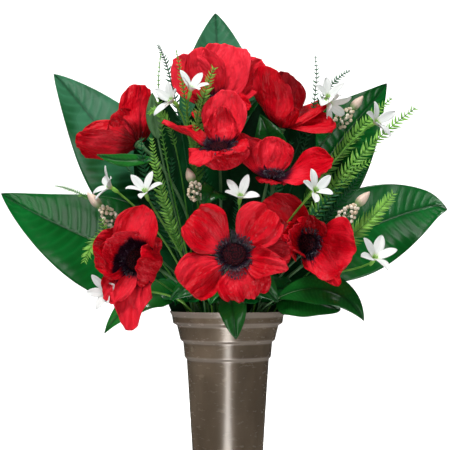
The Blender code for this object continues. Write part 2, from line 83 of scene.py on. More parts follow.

# name: centre of the receptacle, (azimuth, elevation) it faces, eye radius, stamen count, socket (x, y)
# and petals; a petal: angle round the head from its right-hand side, length, width, tilt, cup, and what it
# has otherwise than in PETAL_EXTRAS
# A petal's shading value paints shade into its red above 0, and light below 0.
POPPIES = {
    "top": ((-13, -12, 474), (-4, 22), 9, 60, (-6, 14), (
        (38, 72, 46, 24, 0.5, {"curl": -8, "lean": -6, "corner": 0.1, "painted_shading": -0.4}),
        (131, 70, 50, 34, 0.6, {"curl": 14, "twist": -16, "painted_shading": -0.8}),
        (110, 68, 52, 40, 0.8, {"curl": 10, "ruffle": 2.4, "creases": 1.2, "painted_shading": -0.5}),
        (74, 71, 66, 34, 0.85, {"curl": 26, "roll": 3, "corner": 0.08, "widest": 0.6, "painted_shading": -1}),
        (-20, 46, 40, 34, 0.6, {}),
        (-100, 40, 46, 44, 0.6, {}))),
    "upper_right": ((58, -20, 452), (35, 66), 3, 6, (18, 8), (
        (110, 70, 50, 68, 0.9, {"ruffle": 2.2, "painted_shading": 0.85, "blotch": 0}),
        (72, 66, 54, 72, 0.9, {"curl": -6, "creases": 0.7, "painted_shading": 0.75, "blotch": 0}),
        (166, 74, 62, 68, 1.2, {"curl": -26, "twist": 44, "widest": 0.42, "corner": 0.25, "blotch": 0}),
        (2, 62, 34, 36, 0.7, {"curl": -8, "blotch": 0}),
        (-90, 30, 40, 84, 0.9, {"curl": -10, "blotch": 0}),
        (-32, 58, 58, 14, 0.6, {"curl": -8, "twist": 18, "blotch": 0}))),
    "middle": ((-9, -80, 420), (-5, 55), 11, 110, (-8, -10), (
        (76, 66, 56, 56, 0.9, {"curl": -16, "creases": 1.5, "roll": 3, "ruffle": 2.6, "painted_shading": -0.8}),
        (80, 47, 44, 58, 1.1, {"curl": -10, "creases": 2.6, "ruffle": 3.4, "waves": 4, "corner": 0.4,
                               "painted_shading": -0.3}),
        (165, 64, 42, 25, 0.9, {"twist": 24, "ruffle": 2.8, "corner": 0.5}),
        (-34, 36, 40, 20, 0.6, {}),
        (-120, 46, 42, 8, 0.5, {"curl": 20, "ruffle": 3.0, "corner": 0.5}),
        (-66, 33, 54, 30, 0.6, {"fold": 80, "fold_at": 0.4, "ruffle": 2.4}))),
    "right": ((47, -68, 392), (5, 62), 6, 50, (16, -12), (
        (90, 47, 48, 60, 0.8, {"creases": 1.8, "painted_shading": -0.2}),
        (150, 66, 56, 42, 0.9, {"curl": -16, "twist": -10, "widest": 0.5, "corner": 0.4, "painted_shading": 0.15}),
        (-32, 70, 52, 28, 0.6, {"curl": -2, "ruffle": 2.6, "twist": 30}),
        (-104, 17, 36, 4, 0.6, {"curl": 14, "painted_shading": 0.3}))),
    "upper_left": ((-97, -22, 435), (-120, 35), 7, 30, (-20, 6), (
        (106, 70, 62, 42, 0.8, {"curl": -8, "creases": 0.8, "twist": -20, "widest": 0.45}),
        (-31, 67, 54, 42, 0.9, {"curl": -10, "twist": 12, "creases": 1.6, "ruffle": 3.2, "widest": 0.42}),
        (38, 42, 46, 46, 0.8, {"painted_shading": 0.3}),
        (160, 56, 46, 50, 0.8, {}),
        (-130, 54, 44, 54, 0.6, {}))),
    "lower_left": ((-92, -80, 309), (-12, 4), 13, 150, (-26, -22), (
        (78, 63, 52, 64, 0.9, {"fold": 64, "fold_at": 0.52, "ruffle": 1.6, "lean": -16, "blotch": 0.3,
                               "corner": 0.2}),
        (156, 48, 50, 38, 0.7, {"curl": 10, "ruffle": 2.6, "blotch": 0.28, "painted_shading": 0.2}),
        (186, 44, 46, 36, 0.8, {"ruffle": 2.6, "blotch": 0.28}),
        (-92, 73, 52, 12, 1.0, {"curl": 12, "ruffle": 3.4, "corner": 0.5, "creases": 2.2, "blotch": 0.26,
                                "painted_shading": -0.4}),
        (-119, 53, 38, 24, 0.8, {"curl": 16, "ruffle": 3.0, "blotch": 0.2}),
        (146, 46, 58, 68, 0.9, {"curl": 14, "ruffle": 1.2, "blotch": 0.45}),
        (-14, 55, 58, 8, 0.7, {"fold": -116, "fold_at": 0.46, "ruffle": 2.4, "creases": 1.4,
                               "blotch": 0.2}))),
    "front": ((6, -122, 311), (5, 20), 13, 200, (2, -30), (
        (2, 56, 42, 6, 0.5, {"curl": 10, "waist": 1.6, "painted_shading": 0.4}),
        (-77, 46, 56, 4, 0.5, {"curl": 50, "bend": 0.4, "ruffle": 3.4, "waves": 3.2, "corner": 0.1,
                               "waist": 2.8}),
        (144, 58, 56, 28, 0.6, {"curl": 34, "bend": 0.6, "roll": 4, "corner": 0.06, "creases": 1.4,
                                "waist": 2.0}),
        (48, 58, 52, 28, 0.6, {"curl": 28, "bend": 0.6, "roll": 4, "corner": 0.08, "creases": 1.3,
                               "waist": 2.0}),
        (-24, 59, 38, 32, 0.8, {"curl": 26, "twist": 28, "corner": 0.6, "waist": 1.6}),
        (218, 62, 56, 16, 0.6, {"flap": 46, "ruffle": 2.0, "lean": 8, "creases": 1.6, "waist": 2.8,
                                "curl": 24, "bend": 0.5, "corner": 0.05}))),
    "lower_right": ((84, -72, 325), (-32, 12), 11, 130, (26, -20), (
        (133, 64, 62, 40, 0.9, {"curl": 14, "painted_shading": 0.25}),
        (84, 30, 54, 34, 0.6, {"painted_shading": 0.4}),
        (-14, 60, 70, 8, 0.5, {"curl": -8, "creases": 1.2}),
        (-45, 66, 42, 12, 1.3, {"curl": 4, "corner": 0.8, "creases": 1.2, "widest": 0.5}),
        (168, 48, 52, 108, 0.8, {"ruffle": 3.2, "curl": 10}),
        (204, 42, 46, 98, 0.8, {"ruffle": 3.4, "curl": 16}))),
}
PETAL_EXTRAS = {
    "curl": 0.0,  # degrees that the outer part turns back
    "bend": 0.55,  # share of the length where the curl starts
    "fold": 0.0,  # degrees of one sharp fold, back if above 0 and inward if below
    "fold_at": 0.5,  # share of the length where that fold lies
    "twist": 0.0,  # degrees that the blade turns about its own length
    "lean": 0.0,  # degrees that the tip swings sideways
    "ruffle": 1.6,  # height of the waves at the rim
    "waves": 2.3,  # how many waves there are from edge to edge
    "roll": 1.5,  # how far the long edges roll back
    "creases": 0.9,  # depth of the soft creases
    "corner": 0.2,  # how far the corners of the end are rounded off
    "widest": 0.68,  # share of the length where it is widest
    "waist": 1.0,  # above 1 for a narrower foot
    "flap": 0.0,  # degrees that one half is turned back
    "painted_shading": 0.0,  # above 0 paints shade as a darker red, below 0 paints light as a lighter red
    "blotch": 0.14,  # how far up the dark foot reaches
}
BASE_RISE = 18.0  # degrees that every petal rises at its foot
PETAL_THICKNESS = 0.5

# name: tip, two bend points from the foam, face direction, width, share of petiole, fold, socket, and what
# it has otherwise than in LEAF_EXTRAS
BROAD_LEAVES = {
    "leaf_top": ((-14, 35, 593), (-8, 42, 330), (-8, 45, 500), (0.05, -1, 0.1), 96, 0.42, 14, (-4, 36)),
    "leaf_upper_left": ((-198, 30, 522), (-50, 46, 320), (-118, 48, 436), (0.1, -1, 0.1), 104, 0.36, 12,
                        (-18, 32), {"power": 0.72}),
    "leaf_upper_right": ((181, 30, 506), (46, 46, 320), (110, 48, 436), (-0.1, -1, 0.1), 102, 0.36, 12,
                         (14, 33), {"hook": -5, "wave": 3}),
    "leaf_left": ((-252, 10, 384), (-44, 34, 312), (-150, 22, 316), (0, -1, 0.25), 114, 0.3, 10, (-30, 20),
                  {"power": 0.74}),
    "leaf_right": ((244, 10, 373), (54, 34, 306), (184, 22, 366), (0, -1, 0.02), 96, 0.3, 10, (28, 22),
                   {"hook": 7, "wave": 3.5, "waves": 2.1}),
}
# A row of short leaves between the feet of the stems: the tip's (x, y), the x of each bend point, the socket
FOOT_ROW = (((-62, 6), -40, -54, (-34, 12)), ((-30, 6), -22, -26, (-19, 10)), ((0, 4), 2, 0, (2, 14)),
            ((32, 6), 22, 28, (19, 16)), ((62, 6), 40, 54, (33, 14)))
# Leaves deep inside, which close the gaps between the stems; their near-black green is painted shade
FILL_LEAVES = {
    "fill_left": ((-104, 20, 452), (-30, 20, 300), (-70, 26, 390), (0.1, -1, 0.1), 70, 0.3, 10, (-10, 14)),
    "fill_centre": ((-40, 10, 446), (-10, 20, 300), (-30, 20, 380), (0, -1, 0.1), 66, 0.25, 10, (2, 10)),
    "fill_right": ((60, 12, 440), (20, 20, 300), (40, 22, 380), (0, -1, 0.1), 70, 0.25, 10, (8, 20)),
    "fill_far_right": ((128, 16, 430), (40, 20, 300), (90, 22, 370), (0, -1, 0.1), 66, 0.3, 10, (30, -2)),
    "fill_upper_left": ((-74, 4, 494), (-30, 20, 320), (-60, 20, 420), (0, -1, 0.1), 60, 0.3, 10, (-22, 22)),
    "fill_upper_centre": ((-34, 0, 484), (-16, 20, 320), (-30, 20, 420), (0, -1, 0.1), 60, 0.3, 10,
                          (-6, 24)),
    "fill_upper_right": ((44, 6, 496), (16, 20, 320), (34, 20, 420), (0, -1, 0.1), 66, 0.3, 10, (6, 26)),
    "fill_upper_far": ((96, 10, 474), (26, 20, 320), (70, 20, 420), (0, -1, 0.1), 60, 0.3, 10, (18, 26)),
    "fill_upper_gap": ((78, 8, 482), (24, 20, 310), (56, 20, 410), (0, -1, 0.1), 60, 0.3, 10, (13, 27)),
    **{f"fill_base_{i}": ((*tip, 340), (low, 6, 270), (high, 6, 300), (0, -1, 0.1), 50, 0.05, 8, socket,
                          {"power": 0.6})
       for i, (tip, low, high, socket) in enumerate(FOOT_ROW, 1)},
    "fill_low_left": ((-110, -10, 300), (-34, 0, 290), (-80, -6, 300), (0, -1, 0.3), 60, 0.25, 10,
                      (-30, -10)),
    "fill_low_middle": ((-20, -50, 330), (-8, -20, 280), (-24, -40, 300), (0, -1, 0.2), 50, 0.2, 10,
                        (-4, 0)),
    "fill_low_right": ((100, -10, 330), (34, 4, 280), (80, -4, 306), (0, -1, 0.3), 60, 0.25, 10, (16, 2)),
}
SMALL_LEAVES = {
    "leaf_pale": ((-80, -52, 486), (-40, -20, 320), (-78, -50, 420), (0.2, -1, 0.1), 17, 0.78, 8,
                  (-33, -14)),
    "leaf_low_right": ((116, -70, 257), (38, -16, 276), (76, -68, 274), (0.1, -1, 0.35), 42, 0.38, 10,
                       (36, -6), {"round": 0.6}),
    "leaf_low_right_front": ((137, -92, 247), (40, -44, 276), (110, -84, 304), (0.0, -1, 0.4), 36, 0.34, 12,
                             (20, -32), {"power": 1.0}),
    "leaf_low_left": ((-130, -46, 232), (-42, -14, 284), (-92, -36, 290), (-0.2, -0.9, 0.5), 38, 0.34, 10,
                      (-37, -8)),
    "leaf_front": ((8, -100, 229), (0, -44, 282), (2, -106, 290), (0, -1, 0.3), 29, 0.42, 12, (-12, -36),
                   {"power": 1.35, "round": 0.75}),
}
# Low leaves round the rim of the vase: bearing from the front, reach, height of the tip, width
COLLAR = ((-70, 96, 262, 40), (-38, 78, 272, 36), (-14, 76, 262, 30), (24, 84, 268, 36), (52, 92, 270, 40),
          (88, 94, 280, 40), (128, 84, 276, 40), (164, 76, 268, 36), (200, 78, 274, 36), (246, 92, 272, 40))
# name: the poppy it grows from, the share of the way up its stem, tip, bend, face direction, width
STEM_LEAVES = {
    "sepal_front_left": ("front", 0.86, (-58, -106, 268), (-30, -104, 292), (0, -1, 0.25), 34),
    "sepal_front_right": ("front", 0.86, (50, -104, 266), (32, -102, 290), (0, -1, 0.25), 34),
    "sepal_middle": ("middle", 0.74, (-26, -98, 362), (-12, -98, 388), (0, -1, 0.4), 30),
    "sepal_upper_right": ("upper_right", 0.9, (34, -56, 462), (46, -50, 434), (-0.3, -1, 0), 36),
    "sepal_upper_left": ("upper_left", 0.9, (-138, -54, 420), (-116, -46, 412), (0, -1, 0.3), 15),
    "sepal_top": ("top", 0.93, (34, -22, 486), (16, -10, 466), (0, -1, 0), 20),
}
LEAF_EXTRAS = {
    "wave": 2.0,  # height of the waves along the edges
    "waves": 1.6,  # how many of them there are
    "droop": 3.0,  # how far the edges hang
    "veins": 20.0,  # side veins on each half
    "power": 0.8,  # below 1 the leaf is widest nearer its foot, above 1 nearer its tip
    "round": 0.85,  # below 1 for a fuller outline
    "hook": 0.0,  # how far the tip turns down, or up if below 0
}
LEAF_THICKNESS = 0.6

# name: (flower centre, facing) once or twice, socket
WHITE_FLOWERS = {
    "white_top_left": (((-57, -64, 474), (-40, 20)), ((-39, -75, 483), (20, 50)), (-16, -2)),
    "white_upper_left": (((-120, -72, 383), (-60, 30)), (-34, 4)),
    "white_left": (((-84, -84, 376), (-24, 50)), (-28, -4)),
    "white_middle": (((12, -96, 370), (5, 40)), (12, -27)),
    "white_right": (((85, -121, 375), (30, 25)), (26, -6)),
    "white_low_right": (((152, -60, 309), (24, 40)), (38, 4)),
    "white_low_left": (((-122, -80, 276), (-26, 0)), (-32, -30)),
    "white_upper_right": (((110, 0, 488), (10, 34)), ((109, -9, 483), (50, -36)), (24, 18)),
    "white_far_right": (((158, -25, 457), (50, 20)), (32, 12)),
}
WHITE_LENGTH = 23.5
WHITE_WIDTH = 9.6
WHITE_THICKNESS = 0.4
# The flowers that are larger than the others, and how many times
WHITE_SIZES = {"white_low_right": 1.25, "white_upper_right": 1.08, "white_far_right": 1.1}

BERRIES = 34

# name: tip of the bud, foot of the berry cluster, socket
BUD_SPRAYS = {
    "bud_left": ((-146, -62, 378), (-116, -58, 346), (-34, 12)),
    "bud_middle": ((-42, -58, 404), (-30, -62, 372), (-14, -20)),
    "bud_right": ((149, -48, 380), (118, -50, 348), (34, -14)),
    "bud_upper_right": ((152, 22, 494), (124, 24, 462), (20, 26)),
}

# name: tip, two bend points, face direction, leaflet length, share of bare stem, socket
FERNS = {
    "fern_right_high": ((206, -14, 476), (52, 0, 330), (140, -14, 430), (-0.2, -1, 0.3), 12, 0.42,
                        (40, -12)),
    "fern_right_upper": ((181, -6, 488), (50, 16, 330), (120, 8, 440), (-0.2, -1, 0.3), 12, 0.46, (28, 0)),
    "fern_right_low": ((176, -46, 380), (60, -16, 290), (130, -40, 320), (-0.2, -1, 0.3), 14, 0.5,
                       (42, -20)),
    "fern_left_middle": ((-80, -58, 437), (-40, -20, 300), (-74, -54, 366), (0, -1, 0.4), 9, 0.42,
                         (-24, -12)),
    "fern_top_left": ((-14, -76, 508), (-28, -24, 320), (-48, -62, 440), (0.3, -1, 0.2), 11, 0.5,
                      (-20, -14)),
    "fern_low_left": ((-150, -58, 306), (-60, -16, 300), (-132, -44, 376), (0, -1, 0.5), 11, 0.5, (-38, 16)),
}
# Thin fronds among the leaves, made like the ferns but with fewer leaflets: a lime group and a dark one
LIME_WISPS = {
    "wisp_over_top": ((-54, -70, 528), (-24, -20, 330), (-40, -60, 460), (0, -1, 0.2), 5, 0.62, (-8, -26)),
    "wisp_left_tall": ((-70, -66, 526), (-40, -20, 330), (-84, -62, 440), (0, -1, 0.2), 4.5, 0.6,
                       (-30, -20)),
    "wisp_left_arch": ((-84, -56, 462), (-36, -20, 330), (-56, -60, 500), (0.4, -1, 0.2), 6, 0.62, (-36, 4)),
    "wisp_centre": ((-28, -74, 474), (-20, -20, 320), (-50, -60, 400), (0, -1, 0.2), 6, 0.66, (-4, -10)),
    "wisp_low_left": ((-132, -66, 352), (-40, -20, 290), (-120, -60, 290), (0, -1, 0.3), 10, 0.5,
                      (-36, -20)),
    "wisp_left_edge": ((-184, -40, 388), (-50, 0, 310), (-140, -40, 384), (0, -1, 0.3), 4, 0.7, (-40, 0)),
    "wisp_right_back": ((160, 10, 420), (60, 10, 310), (110, 10, 400), (-0.2, -1, 0.3), 12, 0.4, (34, 2)),
}
DARK_WISPS = {
    "wisp_tall_right": ((97, -4, 536), (40, 10, 330), (108, 0, 450), (0, -1, 0.2), 6, 0.6, (18, 24)),
    "wisp_arch_right": ((136, 0, 520), (40, 14, 330), (84, 0, 500), (0, -1, 0.2), 7, 0.6, (22, 10)),
    "wisp_mid_right": ((151, 0, 412), (50, 10, 310), (124, 0, 360), (0, -1, 0.2), 8, 0.5, (38, -2)),
    "wisp_top_left": ((-76, -30, 542), (-30, 0, 330), (-56, -20, 520), (0, -1, 0.2), 6, 0.6, (-26, 14)),
    "wisp_in_left": ((-110, -20, 410), (-30, 0, 310), (-80, -30, 380), (0, -1, 0.2), 8, 0.3, (-20, -2)),
    "wisp_in_centre": ((-30, -30, 440), (-10, -10, 310), (-24, -30, 380), (0, -1, 0.2), 9, 0.3, (-2, 4)),
    "wisp_in_right": ((70, -20, 440), (20, -10, 310), (50, -30, 370), (0, -1, 0.2), 10, 0.3, (8, 4)),
    "wisp_in_low": ((10, -60, 380), (6, -30, 300), (16, -60, 340), (0, -1, 0.2), 10, 0.3, (10, -8)),
    "wisp_out_right": ((132, -10, 400), (40, -6, 310), (90, -20, 350), (0, -1, 0.2), 11, 0.3, (24, 0)),
    "wisp_stem_left": ((-60, -30, 420), (-40, 0, 300), (-70, -30, 360), (0, -1, 0.3), 10, 0.4, (-24, 20)),
    "wisp_mid_left": ((-92, -40, 440), (-40, 0, 310), (-96, -36, 380), (0, -1, 0.3), 10, 0.4, (-32, 10)),
}

LEAFLET_THICKNESS = 0.25
FERN_PAIRS = 36
WISP_PAIRS = 24
UV_STEP = 3.0  # how far apart petals lie in the UV map, so that no two have the same pattern

rng = random.Random(11)  # for the tones of the leaves


def mm(values):
    """A point in millimetres as a vector in metres."""
    return Vector(values) * MM


def facing(azimuth, elevation):
    """(right, up, forward) of a head that faces this way: azimuth 0 is -Y, and +X is to its right."""
    turn, rise = math.radians(azimuth), math.radians(elevation)
    forward = Vector((math.sin(turn) * math.cos(rise), -math.cos(turn) * math.cos(rise), math.sin(rise)))
    right = Vector((0, 0, 1)).cross(forward).normalized()
    return right, forward.cross(right), forward


def bezier(points, share):
    a, b, c, d = points
    rest = 1 - share
    return a * rest**3 + b * 3 * rest**2 * share + c * 3 * rest * share**2 + d * share**3


def smooth(share):
    share = min(1.0, max(0.0, share))
    return share * share * (3 - 2 * share)


# ---- Mesh makers ----

class Work:
    """A mesh being made, with a UV map and two values at each point, which the materials read.

    tone is the shade of one separate part; on a petal it is how far the dark foot reaches.
    vein is the height of a leaf's veins, with the midrib groove below 0 and painted dark as shade; on a
    petal it is painted shade above 0 and painted light below 0; on the vase it marks the painted highlights
    on the corners.
    """

    def __init__(self):
        self.mesh = bmesh.new()
        self.uv = self.mesh.loops.layers.uv.new("UVMap")
        self.tone = self.mesh.verts.layers.float.new("tone")
        self.vein = self.mesh.verts.layers.float.new("vein")

    def sheet(self, rows, columns, place, tone=0.5, shift=0.0):
        """A grid whose points come from place(u along, v across from -1 to 1), which gives (point, vein)."""
        made = bmesh.ops.create_grid(self.mesh, x_segments=columns, y_segments=rows, size=0.5)
        faces = {face for vertex in made["verts"] for face in vertex.link_faces}
        for face in faces:
            for loop in face.loops:
                loop[self.uv].uv = (loop.vert.co.x * 2 + shift, loop.vert.co.y + 0.5)
        for vertex in made["verts"]:
            point, vein = place(vertex.co.y + 0.5, vertex.co.x * 2)
            vertex.co = point
            vertex[self.tone] = tone
            vertex[self.vein] = vein

    def tube(self, points, radii, around=8, tone=0.5):
        """A closed round rod along these points: a ball whose rings are moved to the points."""
        rings = len(points) + 1
        made = bmesh.ops.create_uvsphere(self.mesh, u_segments=around, v_segments=rings, radius=1)
        frames, side = [], None
        for i in range(len(points)):
            along = (points[min(i + 1, len(points) - 1)] - points[max(i - 1, 0)]).normalized()
            side = along.orthogonal() if side is None else side
            side = (side - along * side.dot(along)).normalized()
            frames.append((side, along.cross(side)))
        for vertex in made["verts"]:
            ring = round(math.acos(max(-1, min(1, -vertex.co.z))) / math.pi * rings)
            place = min(len(points) - 1, max(0, ring - 1))
            flat = Vector((vertex.co.x, vertex.co.y))
            flat = flat.normalized() * radii[place] if 0 < ring < rings else Vector((0, 0))
            one, two = frames[place]
            vertex.co = points[place] + one * flat.x + two * flat.y
            vertex[self.tone] = tone
        self.lay_uv(made["verts"])

    def lay_uv(self, vertices):
        for face in {face for vertex in vertices for face in vertex.link_faces}:
            for loop in face.loops:
                loop[self.uv].uv = (loop.vert.co.x, loop.vert.co.z)

    def ball(self, place, around=8, rings=6, tone=0.5):
        """A ball whose points come from place(direction), so that it can be drawn out, flattened or bent."""
        made = bmesh.ops.create_uvsphere(self.mesh, u_segments=around, v_segments=rings, radius=1)
        for face in {face for vertex in made["verts"] for face in vertex.link_faces}:
            for loop in face.loops:
                loop[self.uv].uv = (loop.vert.co.x * 0.5, loop.vert.co.z * 0.5 + 0.5)
        for vertex in made["verts"]:
            vertex.co = place(vertex.co)
            vertex[self.tone] = tone


def piece(name, work, material, nodes=(), thickness=0.0):
    """Ends a mesh as a piece of the object: on the body, in place of its CAD nodes.

    A pair of materials is for a sheet that gets a thickness: one material for each of its sides.
    """
    mesh = bpy.data.meshes.new(name)
    for face in work.mesh.faces:
        face.smooth = True
    work.mesh.to_mesh(mesh)
    work.mesh.free()
    sides = material if isinstance(material, tuple) else (material,)
    for side in sides:
        mesh.materials.append(side)
    made = bpy.data.objects.new(name, mesh)
    bpy.context.scene.collection.objects.link(made)
    if thickness:
        wall = made.modifiers.new("wall", "SOLIDIFY")
        wall.thickness = thickness * MM
        wall.offset = 0
        wall.material_offset = wall.material_offset_rim = len(sides) - 1
    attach(made, "root")
    if nodes:
        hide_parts(*nodes)


# ---- Materials ----

class Finish:
    """A node material; node() adds a node, and a socket given as an input is linked to it."""

    def __init__(self, name, **sockets):
        self.material = bpy.data.materials.new(name)
        self.material.use_nodes = True
        self.tree = self.material.node_tree
        self.shader = self.tree.nodes["Principled BSDF"]
        self.put(self.shader, sockets)

    def surface(self, **sockets):
        self.put(self.shader, sockets)

    def put(self, node, sockets):
        for label, value in sockets.items():
            socket = node.inputs[int(label[1:])] if label[0] == "_" else node.inputs[label.replace("_", " ")]
            if isinstance(value, bpy.types.NodeSocket):
                self.tree.links.new(value, socket)
            else:
                socket.default_value = value

    def node(self, kind, settings=None, **sockets):
        made = self.tree.nodes.new("ShaderNode" + kind)
        for label, value in (settings or {}).items():
            setattr(made, label, value)
        self.put(made, sockets)
        return made

    def math(self, operation, first, second=0.0, third=0.0):
        return self.node("Math", {"operation": operation}, _0=first, _1=second, _2=third).outputs[0]

    def mix(self, share, first, second):
        """A mix of two colours."""
        made = self.node("Mix", {"data_type": "RGBA"}, _0=share)
        self.put(made, {"_6": first, "_7": second})
        return made.outputs[2]

    def band(self, value, low, high):
        """0 below low, 1 above high, and smooth between them."""
        made = self.node("MapRange", {"interpolation_type": "SMOOTHSTEP"}, Value=value)
        self.put(made, {"From_Min": low, "From_Max": high})
        return made.outputs[0]

    def coordinates(self, kind, scale):
        source = self.node("TexCoord").outputs[kind]
        return self.node("Mapping", None, Vector=source, Scale=scale).outputs[0]

    def noise(self, kind, scale, detail=2.0, rough=0.5):
        """Cloudy noise on the Object or UV coordinates, with a scale along each of them."""
        vector = self.coordinates(kind, scale)
        made = self.node("TexNoise", None, Vector=vector, Scale=1.0, Detail=detail, Roughness=rough)
        return made.outputs[0]

    def cells(self, scale):
        """How far each place is from the nearest of many scattered points."""
        vector = self.coordinates("Object", (scale, scale, scale))
        return self.node("TexVoronoi", None, Vector=vector, Scale=1.0).outputs[0]

    def value(self, name):
        """The tone or the vein that the mesh holds."""
        return self.node("Attribute", {"attribute_name": name}).outputs["Fac"]

    def height(self):
        """The share of the way from the foot of a petal or bud to its tip."""
        return self.node("SeparateXYZ", None, _0=self.node("TexCoord").outputs["UV"]).outputs[1]

    def bump(self, height, strength, distance, normal=None):
        made = self.node("Bump", None, Height=height, Strength=strength, Distance=distance)
        if normal:
            self.put(made, {"Normal": normal})
        return made.outputs[0]


def colour(r, g, b):
    return (r, g, b, 1.0)


def petal_finish(name, base_tone):
    """Red silk; base_tone is the colour that the base of the petal turns to."""
    made = Finish(name, Roughness=0.42, Sheen_Weight=0.02, Sheen_Roughness=0.4)
    made.surface(Sheen_Tint=colour(1.0, 0.3, 0.35), Specular_IOR_Level=0.1)
    height = made.height()
    streak = made.noise("UV", (14, 1.3, 1), 4.0, 0.6)
    thread = made.noise("UV", (60, 3.0, 1), 2.0, 0.5)
    patch = made.noise("Object", (28, 28, 28), 2.0, 0.5)
    red = made.mix(made.band(streak, 0.3, 0.68), colour(0.52, 0.0, 0.005), colour(0.66, 0.001, 0.012))
    # Painted highlight: random patches of a pinker red stand in for light catching the silk.
    red = made.mix(made.math("MULTIPLY", made.band(patch, 0.42, 0.7), 0.6), red, colour(0.94, 0.03, 0.055))
    red = made.mix(made.math("MULTIPLY", made.band(thread, 0.55, 0.8), 0.08), red, colour(0.35, 0.0, 0.004))
    # Painted shading: the petal's value paints shade as a darker red above 0, and light as a paler red below
    # 0.
    painted_shading = made.value("vein")
    red = made.mix(painted_shading, red, colour(0.1, 0.0, 0.001))
    red = made.mix(made.math("MULTIPLY", painted_shading, -1.0), red, colour(0.92, 0.03, 0.055))
    reach = made.value("tone")
    edge = made.math("MULTIPLY_ADD", streak, 0.22, reach)
    base = made.math("SUBTRACT", 1.0, made.band(made.math("SUBTRACT", height, edge), -0.05, 0.1))
    made.surface(Base_Color=made.mix(base, red, base_tone))
    crumple = made.noise("UV", (2.6, 2.6, 1), 3.0, 0.5)
    folds = made.bump(streak, 0.2, 0.0012, made.bump(crumple, 0.9, 0.009))
    made.surface(Normal=made.bump(thread, 0.18, 0.0006, folds))
    return made.material


def eye_finish():
    made = Finish("maroon_disc", Roughness=0.7, Specular_IOR_Level=0.08)
    cells = made.cells(700)
    tone = made.mix(made.band(cells, 0.2, 0.7), colour(0.055, 0.004, 0.008), colour(0.006, 0.001, 0.003))
    made.surface(Base_Color=tone, Normal=made.bump(cells, 0.9, -0.0012))
    return made.material


def stamen_finish():
    made = Finish("dark_stamens", Roughness=0.35)
    tone = made.value("tone")
    made.surface(Base_Color=made.mix(tone, colour(0.003, 0.002, 0.006), colour(0.03, 0.018, 0.045)))
    return made.material


def leaf_finish(name, dark, light, rough=0.22, gloss=0.28):
    made = Finish(name, Roughness=rough, Specular_IOR_Level=gloss)
    vein = made.value("vein")
    tone = made.value("tone")
    patch = made.noise("Object", (14, 14, 14), 3.0, 0.5)
    grain = made.noise("Object", (900, 900, 900), 2.0, 0.5)
    green = made.mix(made.band(patch, 0.35, 0.7), dark, light)
    raised = made.math("MAXIMUM", made.math("MULTIPLY", vein, 0.2), 0.0)
    # Painted shade: the groove along the midrib is painted a near-black green.
    groove = made.math("MAXIMUM", made.math("MULTIPLY", vein, -0.6), 0.0)
    green = made.mix(raised, green, colour(*(c * 1.8 for c in light[:3])))
    green = made.mix(groove, green, colour(0.001, 0.02, 0.006))
    green = made.mix(made.math("MULTIPLY", tone, 0.35), green, dark)
    made.surface(Base_Color=green, Normal=made.bump(grain, 0.12, 0.0003))
    made.surface(Roughness=made.math("MULTIPLY_ADD", patch, 0.16, rough - 0.08))
    return made.material


def plain_finish(name, low, high, rough, scale=60.0, bump=0.3):
    """A matt or satin finish of two tones, with a fine grain."""
    made = Finish(name, Roughness=rough, Specular_IOR_Level=0.2)
    tone = made.value("tone")
    patch = made.noise("Object", (scale, scale, scale), 3.0, 0.6)
    grain = made.noise("Object", (1400, 1400, 1400), 2.0, 0.5)
    share = made.math("MULTIPLY_ADD", patch, 0.6, made.math("MULTIPLY", tone, 0.5))
    made.surface(Base_Color=made.mix(made.band(share, 0.25, 0.85), low, high))
    made.surface(Normal=made.bump(grain, bump, 0.0004))
    return made.material


def white_finish():
    made = Finish("white_petals", Roughness=0.6, Sheen_Weight=0.2)
    height = made.height()
    line = made.noise("UV", (12, 1.0, 1), 2.0, 0.5)
    throat = made.math("SUBTRACT", 1.0, made.band(height, 0.0, 0.32))
    shade = made.mix(made.band(line, 0.45, 0.7), colour(0.88, 0.9, 0.88), colour(0.74, 0.78, 0.76))
    made.surface(Base_Color=made.mix(throat, shade, colour(0.5, 0.6, 0.12)))
    made.surface(Normal=made.bump(line, 0.3, 0.0006))
    return made.material


def bud_finish():
    made = Finish("cream_bud", Roughness=0.55)
    height = made.height()
    line = made.noise("UV", (16, 1.0, 1), 2.0, 0.5)
    cream = made.mix(made.band(line, 0.4, 0.7), colour(0.88, 0.72, 0.56), colour(0.82, 0.55, 0.48))
    green = made.math("SUBTRACT", 1.0, made.band(height, 0.12, 0.5))
    made.surface(Base_Color=made.mix(green, cream, colour(0.16, 0.3, 0.08)))
    made.surface(Normal=made.bump(line, 0.3, 0.0006))
    return made.material


def bronze_finish():
    made = Finish("bronze_patina", Metallic=0.08, Specular_IOR_Level=0.6)
    corner_highlight = made.value("vein")
    patch = made.noise("Object", (22, 22, 9), 4.0, 0.6)
    speck = made.noise("Object", (90, 90, 240), 4.0, 0.65)
    lathe = made.noise("Object", (4, 4, 900), 2.0, 0.5)
    brown = made.mix(made.band(patch, 0.35, 0.7), colour(0.115, 0.083, 0.053), colour(0.2, 0.148, 0.098))
    pale = made.math("MULTIPLY", made.band(speck, 0.6, 0.75), 0.35)
    brown = made.mix(pale, brown, colour(0.32, 0.25, 0.18))
    # Painted highlight: a paler band on the corners of the outline, as where the step edges catch the light.
    edge = made.math("POWER", corner_highlight, 3.0)
    brown = made.mix(made.math("MULTIPLY", edge, 0.55), brown, colour(0.4, 0.34, 0.29))
    made.surface(Base_Color=brown)
    made.surface(Roughness=made.math("MULTIPLY_ADD", speck, 0.12, 0.2))
    made.surface(Normal=made.bump(lathe, 0.12, 0.0004, made.bump(speck, 0.1, 0.0004)))
    return made.material


def foam_finish():
    made = Finish("florist_foam", Roughness=0.95)
    pores = made.cells(600)
    tone = made.mix(made.band(pores, 0.1, 0.6), colour(0.02, 0.05, 0.02), colour(0.08, 0.15, 0.06))
    made.surface(Base_Color=tone, Normal=made.bump(pores, 0.8, 0.0012))
    return made.material


